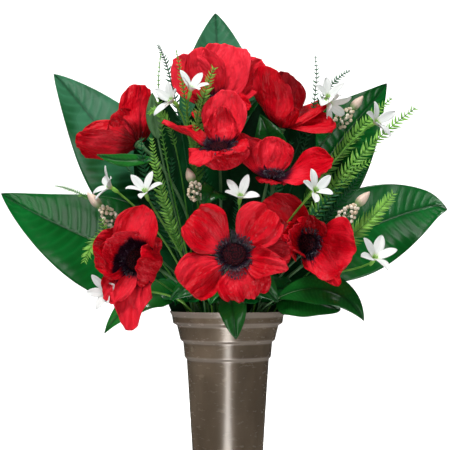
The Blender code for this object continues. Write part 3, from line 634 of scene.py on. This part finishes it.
PETAL = (petal_finish("red_silk_back", colour(0.25, 0.001, 0.004)),
         petal_finish("red_silk", colour(0.016, 0.002, 0.01)))
DISC = eye_finish()
STAMENS = stamen_finish()
LEAF = leaf_finish("deep_green_leaf", colour(0.0005, 0.074, 0.008), colour(0.002, 0.165, 0.024))
# Painted sheen: the pale bluish patches of this leaf finish stand in for the gloss on the back leaves.
SHEEN_PAINTED_LEAF = leaf_finish("painted_sheen_leaf", colour(0.001, 0.075, 0.012), colour(0.065, 0.27, 0.14), 0.26, 0.32)
# Painted shade: a near-black green for the leaves deep inside, where shade falls.
SHADE_PAINTED_LEAF = leaf_finish("painted_shade_leaf", colour(0.0002, 0.016, 0.003), colour(0.001, 0.06, 0.012), 0.5, 0.06)
SMALL_LEAF = leaf_finish("mid_green_leaf", colour(0.003, 0.07, 0.008), colour(0.015, 0.17, 0.02))
LIME = plain_finish("lime_frond", colour(0.012, 0.13, 0.006), colour(0.27, 0.6, 0.09), 0.4)
DARK_FROND = plain_finish("dark_frond", colour(0.002, 0.045, 0.012), colour(0.012, 0.14, 0.04), 0.4)
STEM = plain_finish("green_stem", colour(0.02, 0.09, 0.02), colour(0.12, 0.24, 0.1), 0.4)
WHITE = white_finish()
BUD = bud_finish()
BERRY = plain_finish("cream_berries", colour(0.8, 0.62, 0.44), colour(0.98, 0.92, 0.78), 0.4)
BRONZE = bronze_finish()
FOAM = foam_finish()


# ---- Stems ----

def socket_line(socket):
    """(foot, mouth) of a socket in the foam."""
    x, y = socket
    return mm((x * SOCKET_SPLAY, y * SOCKET_SPLAY, SOCKET_FLOOR)), mm((x, y, FOAM_TOP))


def leave_socket(socket, reach):
    """The point that a stem comes to when it leaves its socket straight."""
    bottom, top = socket_line(socket)
    return top + (top - bottom).normalized() * reach * MM


def stem_points(socket, bend_low, bend_high, end, count):
    """A stem from just above its socket's floor, through the socket and along a curve to its end."""
    bottom, top = socket_line(socket)
    floor = bottom + (top - bottom).normalized() * SEAT_GAP * MM
    line = (top, bend_low, bend_high, end)
    return [floor] + [bezier(line, i / count) for i in range(count + 1)]


def poppy_path(name, count=16):
    """A poppy's stem; it comes to the receptacle along the head's axis."""
    centre, look, _, _, socket, _ = POPPIES[name]
    forward = facing(*look)[2]
    end = mm(centre) - forward * (RECEPTACLE_BELOW + SEAT_GAP) * MM
    neck = end - forward * CALYX_LENGTH * MM
    reach = (neck - socket_line(socket)[1]).length / MM
    low = leave_socket(socket, reach * 0.4)
    return [*stem_points(socket, low, neck - forward * min(60, reach * 0.4) * MM, neck, count), end]


# ---- Poppies ----

def petal_surface(centre, axes, row, seed):
    """place(u, v) for one petal: a spine that rises and turns back, with a cupped, ruffled blade on it."""
    angle, length, width, tilt, cup, extras = row
    extra = {**PETAL_EXTRAS, **extras}
    right, up, forward = axes
    steps = 60
    draw = random.Random(seed)
    phase = [draw.uniform(0, 2) for _ in range(6)]

    def rise(share):
        opened = BASE_RISE + (tilt - BASE_RISE) * smooth(share / 0.38)
        rolled = max(0.0, (share - extra["bend"]) / (1 - extra["bend"])) ** 1.5
        folded = extra["fold"] * smooth((share - extra["fold_at"] + 0.04) / 0.08)
        return math.radians(opened - extra["curl"] * rolled - folded)

    def heading(share):
        turn = math.radians(angle + extra["lean"] * share * share)
        return right * math.cos(turn) + up * math.sin(turn), up * math.cos(turn) - right * math.sin(turn)

    spine = [centre + heading(0)[0] * 1.5 * MM]
    for i in range(steps):
        share = (i + 0.5) / steps
        out = heading(share)[0]
        step = out * math.cos(rise(share)) + forward * math.sin(rise(share))
        spine.append(spine[-1] + step * length * MM / steps)

    def place(u, v):
        rim = noise.noise(Vector((v * 2.4, phase[0] * 9, 3.0))) * 0.05 * u**4
        share = max(0.0, min(1.0, u * (1 - extra["corner"] * v * v * u * u + rim)))
        index = min(steps - 1, int(share * steps))
        point = spine[index].lerp(spine[index + 1], share * steps - index)
        out, across = heading(share)
        slope = rise(share)
        full = extra["widest"]
        wide = 0.16 + 0.84 * math.sin(math.pi / 2 * min(1, u / full)) ** extra["waist"]
        wide -= 0.22 * max(0, (u - full) / (1 - full)) ** 2
        bend = v * wide * cup
        side = width / 2 / cup * math.sin(bend)
        inward = width / 2 / cup * (1 - math.cos(bend))
        inward -= extra["roll"] * max(0.0, (abs(v) - 0.55) / 0.45) ** 2 * smooth(u)
        grow = u * u
        edge = 0.35 + 0.65 * abs(v)
        inward += extra["ruffle"] * grow * edge * math.sin(math.pi * (extra["waves"] * v + phase[1]))
        inward += extra["ruffle"] * 0.4 * u**3 * math.sin(math.pi * (extra["waves"] * 2.6 * v + phase[2]))
        crease = noise.noise(Vector((v * 4.0 + phase[3] * 5, u * 1.2, phase[4])))
        fine = noise.noise(Vector((v * 12.0 + phase[5] * 5, u * 1.8, phase[3])))
        lump = noise.noise(Vector((v * 1.7 + u * 1.4 + phase[0] * 5, u * 3.2 - v, phase[5])))
        inward += extra["creases"] * (1.5 * crease + 0.5 * fine + 1.6 * lump) * smooth(u / 0.3)
        flap = math.radians(extra["flap"]) * smooth(v / 0.25)
        side, inward = side * math.cos(flap), inward - side * math.sin(flap)
        turn = math.radians(extra["twist"]) * smooth(u / 0.6)
        inner = forward * math.cos(slope) - out * math.sin(slope)
        sideways = across * math.cos(turn) + inner * math.sin(turn)
        inner = inner * math.cos(turn) - across * math.sin(turn)
        # The vein value carries the petal's painted shade (above 0) and painted light (below 0) to the
        # material.
        return point + (sideways * side + inner * inward) * MM, extra["painted_shading"]

    return place


def poppy(name):
    """One flower: petals, stem with its calyx and receptacle, the disc, and the stamens round it."""
    centre, look, eye_radius, stamens, _, petals = POPPIES[name]
    axes = facing(*look)
    right, up, forward = axes
    node = "poppy_" + name
    seed = sum(map(ord, name))
    work = Work()
    for i, row in enumerate(petals):
        lift = mm(centre) + forward * (0.5 + 0.7 * (i % 3)) * MM
        blotch = {**PETAL_EXTRAS, **row[5]}["blotch"]
        work.sheet(36, 32, petal_surface(lift, axes, row, seed * 10 + i), blotch, UV_STEP * i)
    piece(f"petals_{name}", work, PETAL, [node + "_petals"], PETAL_THICKNESS)

    work = Work()
    points = poppy_path(name)
    radii = [STEM_RADIUS * MM] * (len(points) - 2) + [radius * MM for radius in CALYX_RADII]
    work.tube(points, radii, 12)

    def receptacle(d):
        flat = (right * d.x + up * d.y) * RECEPTACLE_RADIUS * MM
        return mm(centre) + flat + forward * (d.z * RECEPTACLE_HALF_HEIGHT - 0.2) * MM

    work.ball(receptacle, 16, 8)
    piece(f"stem_{name}", work, STEM, [node + "_stem"])

    work = Work()
    middle = mm(centre) + forward * DISC_ABOVE * MM
    dome = eye_radius * 0.95

    def disc(d):
        dimple = 1 - 0.35 * math.exp(-(d.x * d.x + d.y * d.y) / 0.12)
        high = forward * d.z * DISC_HALF_HEIGHT * (dimple if d.z > 0 else 1)
        return middle + ((right * d.x + up * d.y) * dome + high) * MM

    work.ball(disc, 32, 16)
    piece(f"disc_{name}", work, DISC, [node + "_eye"])

    work = Work()
    draw = random.Random(seed)
    for i in range(stamens):
        turn = math.tau * (i + draw.uniform(-0.4, 0.4)) / stamens
        out = right * math.cos(turn) + up * math.sin(turn)
        spread = draw.uniform(0.0, 1.0) ** 0.45
        start = mm(centre) + (out * eye_radius * 0.8 + forward * 3.5) * MM
        reach = eye_radius * (0.16 + 1.02 * spread) + draw.uniform(-0.8, 0.8)
        height = 9.5 - 6.5 * spread + draw.uniform(-1.2, 1.2)
        end = start + (out * reach + forward * height) * MM
        bow = start.lerp(end, 0.5) + forward * (1.5 + 2.0 * spread) * MM
        points = [start, start.lerp(bow, 0.5), bow, bow.lerp(end, 0.5), end]
        work.tube(points, [radius * MM for radius in STAMEN_RADII], 5, 0.1 + 0.4 * draw.random())
        along = (end - bow).normalized()
        one = along.orthogonal().normalized()
        two = along.cross(one)
        size = draw.uniform(0.8, 1.15)

        def anther(d):
            return end + (one * d.x * 0.6 + two * d.y * 0.45 + along * d.z * 1.15) * size * MM

        work.ball(anther, 6, 5, draw.random())
    piece(f"stamens_{name}", work, STAMENS, [node + "_eye"])


# ---- Leaves ----

def leaf_surface(line, face, width, fold, extras):
    """place(u, v) for a leaf blade along a Bezier line."""
    extra = {**LEAF_EXTRAS, **extras}
    face = Vector(face).normalized()
    bend = math.radians(fold)
    seed = width + line[3].x * 100

    def place(share, v):
        centre = bezier(line, share)
        along = (bezier(line, min(1, share + 0.005)) - bezier(line, max(0, share - 0.005))).normalized()
        side = along.cross(face).normalized()
        front = side.cross(along)
        outline = math.sin(math.pi * min(1, 0.03 + 0.97 * share ** extra["power"]))
        half = width / 2 * outline ** extra["round"]
        half = max(half, 0.25)
        reach = v * half
        rib = math.exp(-((reach / 1.6) ** 2))
        along_vein = extra["veins"] * (share - 0.13 * abs(v) ** 1.3 * (1 - 0.4 * share))
        ridge = (0.5 + 0.5 * math.cos(math.tau * along_vein)) ** 5
        vein = ridge * smooth(abs(reach) / 3) * (1 - abs(v) ** 6)
        lift = abs(reach) * math.sin(bend)
        lift -= extra["droop"] * abs(v) ** 3 * math.sin(math.pi * share)
        wave = math.sin(math.tau * (extra["waves"] * share + (0.2 if v > 0 else 0.55)) + seed)
        lift += extra["wave"] * wave * abs(v) ** 2 * math.sin(math.pi * min(1, share * 1.05))
        lift += noise.noise(Vector((share * 4, v * 1.5, seed))) * 1.6 * abs(v)
        lift -= 0.7 * rib + 0.26 * vein
        hook = Vector((0, 0, extra["hook"] * max(0.0, (share - 0.86) / 0.14) ** 2))
        return centre + (side * reach * math.cos(bend) + front * lift - hook) * MM, vein - rib

    return place


def stands_for(name):
    """The CAD nodes that a piece of this name replaces: its own, if there is one."""
    return [name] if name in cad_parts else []


def leaf(name, line, face, width, fold, extras, root, big, material):
    """A leaf: its blade, and a stalk that runs on as the rib under the blade."""
    work = Work()
    rows, columns = (150, 40) if big else (56, 20)
    place = leaf_surface(line, face, width, fold, extras)
    work.sheet(rows, columns, place, rng.random())
    piece(name + "_blade", work, material, stands_for(name), LEAF_THICKNESS)
    work = Work()
    rib = [bezier(line, i / 12) for i in range(12)]
    under = []
    for i, point in enumerate(rib):
        along = (bezier(line, min(1, i / 12 + 0.01)) - bezier(line, max(0, i / 12 - 0.01))).normalized()
        side = along.cross(Vector(face).normalized()).normalized()
        under.append(point - side.cross(along) * 1.0 * MM)
    points = [*root, *under]
    thick = 1.5 if big else 1.0
    radii = [thick * MM] * len(root) + [thick * (1 - 0.8 * i / 11) * MM for i in range(12)]
    work.tube(points, radii, 8)
    piece(name + "_stalk", work, STEM, stands_for(name))


def socket_leaf(name, row, big, material):
    """A leaf on its own stalk, which stands in a socket of the foam."""
    tip, low, high, face, width, petiole, fold, socket, *extras = row
    bottom, top = socket_line(socket)
    floor = bottom + (top - bottom).normalized() * LEAF_SEAT_GAP * MM
    whole = (top, mm(low), mm(high), mm(tip))
    root = [floor] + [bezier(whole, petiole * i / 6) for i in range(6)]
    # The blade is the rest of the same curve, from the petiole's share to the tip.
    a, b, c, d = whole
    ab, bc, cd = a.lerp(b, petiole), b.lerp(c, petiole), c.lerp(d, petiole)
    abc, bcd = ab.lerp(bc, petiole), bc.lerp(cd, petiole)
    line = (abc.lerp(bcd, petiole), bcd, cd, d)
    leaf(name, line, face, width, fold, extras[0] if extras else {}, root, big, material)


def stem_leaf(name, row):
    """A small leaf that grows from the stem of a poppy."""
    carrier, share, tip, bend, face, width = row
    points = poppy_path(carrier, 9)[1:-1]
    place = share * (len(points) - 1)
    low = int(place)
    on_stem = points[low].lerp(points[low + 1], place - low)
    along = (points[low + 1] - points[low]).normalized()
    away = mm(bend) - on_stem
    away = (away - along * away.dot(along)).normalized()
    start = on_stem + away * 1.2 * MM
    line = (start, start.lerp(mm(bend), 0.7), mm(bend).lerp(mm(tip), 0.2), mm(tip))
    leaf(name, line, face, width, 10, {"wave": 1.0, "veins": 12, "droop": 2}, [on_stem], False, SMALL_LEAF)


# ---- White flowers, buds and ferns ----

def white_petal(centre, axes, turn, draw, size):
    """place(u, v) for one petal of a star: grooved, rising from the middle and then arching back."""
    right, up, forward = axes
    out = right * math.cos(turn) + up * math.sin(turn)
    across = up * math.cos(turn) - right * math.sin(turn)
    rise = math.radians(draw.uniform(24, 62))
    curl = math.radians(draw.uniform(10, 55))
    length = WHITE_LENGTH * size * draw.uniform(0.9, 1.08)
    lean = draw.uniform(-2.5, 2.5)

    def place(u, v):
        reach, height, steps = 1.2, 0.0, 8
        for i in range(steps):
            foot_rise = math.radians(30) * (1 - smooth(u * i / steps / 0.3))
            slope = rise + foot_rise - curl * (u * (i + 0.5) / steps) ** 2
            reach += math.cos(slope) * length * u / steps
            height += math.sin(slope) * length * u / steps
        half = WHITE_WIDTH * size / 2 * (0.28 + 0.72 * math.sin(math.pi / 2 * min(1, u / 0.6)))
        half *= max(0.0, 1 - max(0, (u - 0.5) / 0.505) ** 2) ** 0.7
        groove = 0.9 * v * v - 0.35 * math.exp(-((v / 0.22) ** 2))
        point = out * reach + forward * (height + groove) + across * (v * half + lean * u * u)
        return centre + point * MM, 0.0

    return place


def white_path(centre, look, socket, count=12):
    """A white flower's stalk; it comes to the star along the star's axis."""
    forward = facing(*look)[2]
    end = mm(centre) + forward * 0.4 * MM
    reach = (end - socket_line(socket)[1]).length / MM
    return stem_points(socket, leave_socket(socket, reach * 0.45), end - forward * 30 * MM, end, count)


def white_flower(name, row):
    """One or two stars of five petals; a second star forks off the stalk of the first."""
    *heads, socket = row
    draw = random.Random(sum(map(ord, name)))
    size = WHITE_SIZES.get(name, 1.0)
    petals, stalks = Work(), Work()
    main = white_path(*heads[0], socket)
    stalks.tube(main, [THIN_STEM_RADIUS * MM] * len(main), 8)
    if len(heads) > 1:
        centre, look = heads[1]
        end = mm(centre) + facing(*look)[2] * 0.4 * MM
        start = main[-5]
        line = (start, start + (main[-4] - start) * 1.6, end - facing(*look)[2] * 18 * MM, end)
        stalks.tube([bezier(line, i / 8) for i in range(9)], [0.9 * MM] * 9, 8)
    for centre, look in heads:
        axes = facing(*look)
        right, up, forward = axes
        first = draw.uniform(0, math.tau)
        for i in range(5):
            turn = first + math.tau * i / 5 + draw.uniform(-0.14, 0.14)
            petals.sheet(14, 8, white_petal(mm(centre), axes, turn, draw, size), draw.random(), UV_STEP * i)
        stalks.tube([mm(centre) + forward * h * MM for h in (-9, -6, -2, 1.2)],
                    [1.1 * MM, 1.9 * MM, 2.2 * MM, 1.6 * MM], 10, 0.9)
        for i in range(6):
            turn = math.tau * i / 6 + draw.uniform(-0.3, 0.3)
            out = right * math.cos(turn) + up * math.sin(turn)
            foot = mm(centre) + (out * 0.6 + forward * 0.8) * MM
            stalks.tube([foot, foot + (out * 1.0 + forward * 3) * MM, foot + (out * 1.6 + forward * 5) * MM],
                        [0.25 * MM, 0.25 * MM, 0.55 * MM], 5, 1.0)
    piece(name + "_petals", petals, WHITE, [name], WHITE_THICKNESS)
    piece(name + "_stalk", stalks, LIME, [name])


def bud_spray(name, row):
    """A bud of three lobes that stands out of a cluster of berries, each berry on its own short stalk."""
    tip, foot, socket = row
    tip, foot = mm(tip), mm(foot)
    along = (tip - foot).normalized()
    one = along.orthogonal().normalized()
    two = along.cross(one)
    draw = random.Random(sum(map(ord, name)))
    length = (tip - foot).length
    reach = (foot - socket_line(socket)[1]).length / MM
    points = stem_points(socket, leave_socket(socket, reach * 0.45), foot - along * 40 * MM, foot, 12)
    points.append(foot + along * length * 0.6)
    stalk = Work()
    stalk.tube(points, [THIN_STEM_RADIUS * MM] * (len(points) - 1) + [0.8 * MM], 8)
    berries = Work()
    for i in range(BERRIES):
        turn = i * 2.4 + draw.uniform(-0.3, 0.3)
        height = length * (0.02 + 0.56 * i / (BERRIES - 1))
        out = one * math.cos(turn) + two * math.sin(turn)
        swell = math.sin(math.pi * (0.2 + 0.7 * i / (BERRIES - 1)))
        far = (11.0 - 0.12 * i) * swell * draw.uniform(0.75, 1.0)
        size = draw.uniform(1.5, 2.2)
        core = foot + along * height
        centre = core + out * far * MM
        stalk.tube([core - along * 2.5 * MM, core.lerp(centre, 0.6), centre], [0.35 * MM] * 3, 5)
        berries.ball(lambda d: centre + d * size * MM, 10, 8, draw.random())
    piece(name + "_berries", berries, BERRY, [name])
    bud = Work()
    base = foot + along * length * 0.52
    for i in range(3):
        turn = math.tau * i / 3
        off = one * math.cos(turn) + two * math.sin(turn)

        def place(d):
            share = d.z * 0.5 + 0.5
            fat = 4.3 * math.sin(math.pi * min(1, share**0.75)) ** 0.8 + 0.25
            flat = one * d.x + two * d.y
            flat = flat.normalized() if flat.length > 1e-6 else flat
            swell = off * 0.7 * math.sin(math.pi * share)
            return base + along * share * length * 0.52 + (flat * fat + swell) * MM

        bud.ball(place, 14, 12, draw.random())
    piece(name + "_bud", bud, BUD, [name])
    piece(name + "_stalk", stalk, STEM, [name])


def leaflet(work, base, axes, length, width, tone):
    """A thin pointed leaflet, arched back; axes are its own direction, the frond's, and the front."""
    out, along, front = axes

    def place(u, v):
        half = width / 2 * math.sin(math.pi * (0.14 + 0.86 * u) ** 0.8)
        lift = 0.12 * abs(v) * width - 0.16 * length * u * u
        swept = along * (0.35 * length * u * u + v * half)
        return base + (out * u * length + swept + front * lift) * MM, 0.0

    work.sheet(4, 2, place, tone)


def fern(name, row, material, pairs):
    """A frond: its stalk from the foam, and pairs of leaflets along the outer part of it."""
    tip, low, high, face, leaf_length, bare, socket = row
    draw = random.Random(sum(map(ord, name)))
    face = Vector(face).normalized()
    bottom, top = socket_line(socket)
    line = (top, mm(low), mm(high), mm(tip))
    stalk = Work()
    points = [bottom.lerp(top, 0.02)] + [bezier(line, i / 18) for i in range(19)]
    stalk.tube(points, [0.9 * MM] * 8 + [(0.85 - 0.035 * i) * MM for i in range(12)], 6, 0.2)
    piece(name + "_stalk", stalk, material, stands_for(name))
    blades = Work()
    for i in range(pairs):
        share = bare + (1 - bare) * (i + 0.3) / pairs
        centre = bezier(line, share)
        along = (bezier(line, min(1, share + 0.01)) - bezier(line, share - 0.01)).normalized()
        side = along.cross(face).normalized()
        front = side.cross(along)
        size = leaf_length * (0.12 + 0.88 * math.sin(math.pi * min(1, 0.3 + 0.62 * i / pairs)))
        for way in (-1, 1):
            lean = along * draw.uniform(0.2, 0.62) + front * draw.uniform(-0.3, 0.4)
            out = (side * way * 0.86 + lean).normalized()
            long = size * draw.uniform(0.7, 1.12)
            # Painted shade: leaflets are darker towards the foot of the frond, inside the bouquet, with a
            # random tone on top.
            shade = 0.1 + 0.6 * i / pairs + 0.3 * draw.random()
            leaflet(blades, centre, (out, along, front), long, min(3.5, long * 0.4), shade)
    piece(name + "_frond", blades, material, stands_for(name), LEAFLET_THICKNESS)


# ---- Vase and foam ----

def vase():
    """The turned vase: its outline with rounded corners, spun round."""
    work = Work()
    profile = [(0.0, VASE_INSIDE[0][1]), *VASE_INSIDE, *VASE_OUTSIDE, (0.0, 0.0)]
    corners = [work.mesh.verts.new((r * MM, 0, z * MM)) for r, z in profile]
    for a, b in zip(corners, corners[1:]):
        work.mesh.edges.new((a, b))
    bmesh.ops.bevel(work.mesh, geom=corners[1:-1], affect="VERTICES", offset=VASE_ROUNDING * MM, segments=3,
                    profile=0.5, material=-1)
    for edge in [edge for edge in work.mesh.edges if edge.calc_length() > 2 * VASE_CUT * MM]:
        bmesh.ops.subdivide_edges(work.mesh, edges=[edge], cuts=int(edge.calc_length() / (VASE_CUT * MM)))
    bmesh.ops.spin(work.mesh, geom=work.mesh.verts[:] + work.mesh.edges[:], axis=(0, 0, 1), cent=(0, 0, 0),
                   angle=math.tau, steps=VASE_STEPS, use_merge=True)
    bmesh.ops.remove_doubles(work.mesh, verts=work.mesh.verts, dist=1e-6)
    bmesh.ops.recalc_face_normals(work.mesh, faces=work.mesh.faces)
    # The corners of the outside outline are marked for the painted highlight of the bronze.
    for vertex in work.mesh.verts:
        reach = vertex.co.xy.length / MM
        near = min(math.hypot(reach - r, vertex.co.z / MM - z) for r, z in VASE_OUTSIDE[:-1])
        vertex[work.vein] = 1.0 if near < CORNER_HIGHLIGHT_WIDTH else 0.0
    work.lay_uv(work.mesh.verts)
    piece("vase_turned", work, BRONZE, ["vase"])


def foam():
    """The plug keeps its CAD shape and gets the finish of florist foam."""
    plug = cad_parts["foam_plug"]
    for holder in plug.material_slots:
        holder.material = FOAM


# ---- Studio ----

SWEEP_FRONT = 2.0
SWEEP_BACK = 2.6
SWEEP_RADIUS = 1.0
SWEEP_LENGTH = 8.0
SWEEP_HALF_WIDTH = 4.0
# name: place, what it points at, size, watts
LAMPS = {
    "key": ((-0.45, -1.0, 2.1), (0, 0, 0.35), (0.5, 0.5), 38),
    "fill": ((1.4, -1.3, 0.7), (0, 0, 0.35), (0.8, 1.4), 2.5),
    "front": ((0.0, -2.4, 0.4), (0, 0, 0.35), (0.5, 1.5), 11),
    "top": ((0.2, 0.3, 1.9), (0, 0, 0.35), (0.9, 0.9), 7),
    "back": ((0, 0.9, 1.7), (0, 3.0, 0.3), (2.6, 0.8), 130),
    "low_strip": ((-0.003, -0.75, 0.02), (-0.003, -0.75, 1), (0.13, 1.1), 6),
}
LENS = 83.6
CAMERA_PLACE = (-0.003, -1.15, 0.291)
CAMERA_PITCH = 92.85


def paper_sweep():
    """White paper that lies under the vase and curves up behind it."""
    work = bmesh.new()
    bmesh.ops.create_grid(work, x_segments=1, y_segments=60, size=1)
    for vertex in work.verts:
        run = (vertex.co.y + 1) / 2 * SWEEP_LENGTH - SWEEP_FRONT
        side = vertex.co.x * SWEEP_HALF_WIDTH
        past = run - SWEEP_BACK
        if past < 0:
            vertex.co = (side, run, 0)
        else:
            arc = min(math.pi / 2, past / SWEEP_RADIUS)
            over = max(0.0, past - math.pi / 2 * SWEEP_RADIUS)
            back = SWEEP_BACK + math.sin(arc) * SWEEP_RADIUS
            vertex.co = (side, back, (1 - math.cos(arc)) * SWEEP_RADIUS + over)
    mesh = bpy.data.meshes.new("studio_sweep")
    work.to_mesh(mesh)
    work.free()
    mesh.shade_smooth()
    sweep = bpy.data.objects.new("studio_sweep", mesh)
    bpy.context.scene.collection.objects.link(sweep)
    paper = Finish("white_paper", Roughness=0.9)
    grain = paper.noise("Object", (40, 40, 40), 2.0, 0.5)
    paper.surface(Base_Color=paper.mix(grain, colour(0.8, 0.8, 0.8), colour(0.84, 0.84, 0.84)))
    mesh.materials.append(paper.material)
    sweep.visible_glossy = False
    sweep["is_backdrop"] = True


def lamps():
    """Area lamps and a faint world; the low strip shows only as a reflection."""
    world = bpy.data.worlds.new("studio")
    bpy.context.scene.world = world
    world.use_nodes = True
    world.node_tree.nodes["Background"].inputs[0].default_value = (1, 1, 1, 1)
    world.node_tree.nodes["Background"].inputs[1].default_value = 0.06
    for name, (place, aim, size, watts) in LAMPS.items():
        light = bpy.data.lights.new(name, "AREA")
        light.shape = "RECTANGLE"
        light.size, light.size_y = size
        light.energy = watts
        holder = bpy.data.objects.new(name, light)
        holder.location = place
        holder.visible_diffuse = name != "low_strip"
        holder.rotation_euler = (Vector(aim) - Vector(place)).to_track_quat("-Z", "Y").to_euler()
        bpy.context.scene.collection.objects.link(holder)


def camera():
    """A long lens in front of the bouquet, at half its height."""
    lens = bpy.data.cameras.new("camera")
    lens.sensor_width = 36
    lens.lens = LENS
    lens.clip_end = 30
    holder = bpy.data.objects.new("camera", lens)
    holder.location = CAMERA_PLACE
    holder.rotation_euler = (math.radians(CAMERA_PITCH), 0, 0)
    bpy.context.scene.collection.objects.link(holder)
    bpy.context.scene.camera = holder
    bpy.context.scene.view_settings.view_transform = "Standard"


# ---- The whole bouquet ----

# The leaves whose finish is not that of their group; the two back leaves get pale patches of painted sheen
OWN_FINISH = {"leaf_top": SHEEN_PAINTED_LEAF, "leaf_upper_left": SHEEN_PAINTED_LEAF, "leaf_pale": STEM}

vase()
foam()
for title in POPPIES:
    poppy(title)
for title, data in BROAD_LEAVES.items():
    socket_leaf(title, data, True, OWN_FINISH.get(title, LEAF))
for title, data in FILL_LEAVES.items():
    # The leaves deep inside get the finish of painted shade.
    socket_leaf(title, data, False, SHADE_PAINTED_LEAF)
for i, (bearing, reach, height, width) in enumerate(COLLAR):
    x, y = math.sin(math.radians(bearing)), -math.cos(math.radians(bearing))
    tip = (x * reach, y * reach * 0.85, height)
    low, high = (x * 34, y * 34, 276), (x * reach * 0.7, y * reach * 0.6, 292)
    face, socket = (x * 0.4, y * 0.4 - 0.6, 0.6), (x * 41, y * 41)
    finish = SMALL_LEAF if i % 3 == 2 else LEAF
    socket_leaf(f"collar_{i}", (tip, low, high, face, width, 0.3, 10, socket), False, finish)
for title, data in SMALL_LEAVES.items():
    socket_leaf(title, data, False, OWN_FINISH.get(title, SMALL_LEAF))
for title, data in STEM_LEAVES.items():
    stem_leaf(title, data)
for title, data in WHITE_FLOWERS.items():
    white_flower(title, data)
for title, data in BUD_SPRAYS.items():
    bud_spray(title, data)
for title, data in FERNS.items():
    fern(title, data, LIME, FERN_PAIRS)
for title, data in LIME_WISPS.items():
    fern(title, data, LIME, WISP_PAIRS)
for title, data in DARK_WISPS.items():
    fern(title, data, DARK_FROND, WISP_PAIRS)
paper_sweep()
lamps()
camera()

low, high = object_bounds()
{"cad": [list(cad_low), list(cad_high)], "visual": [list(low), list(high)]}
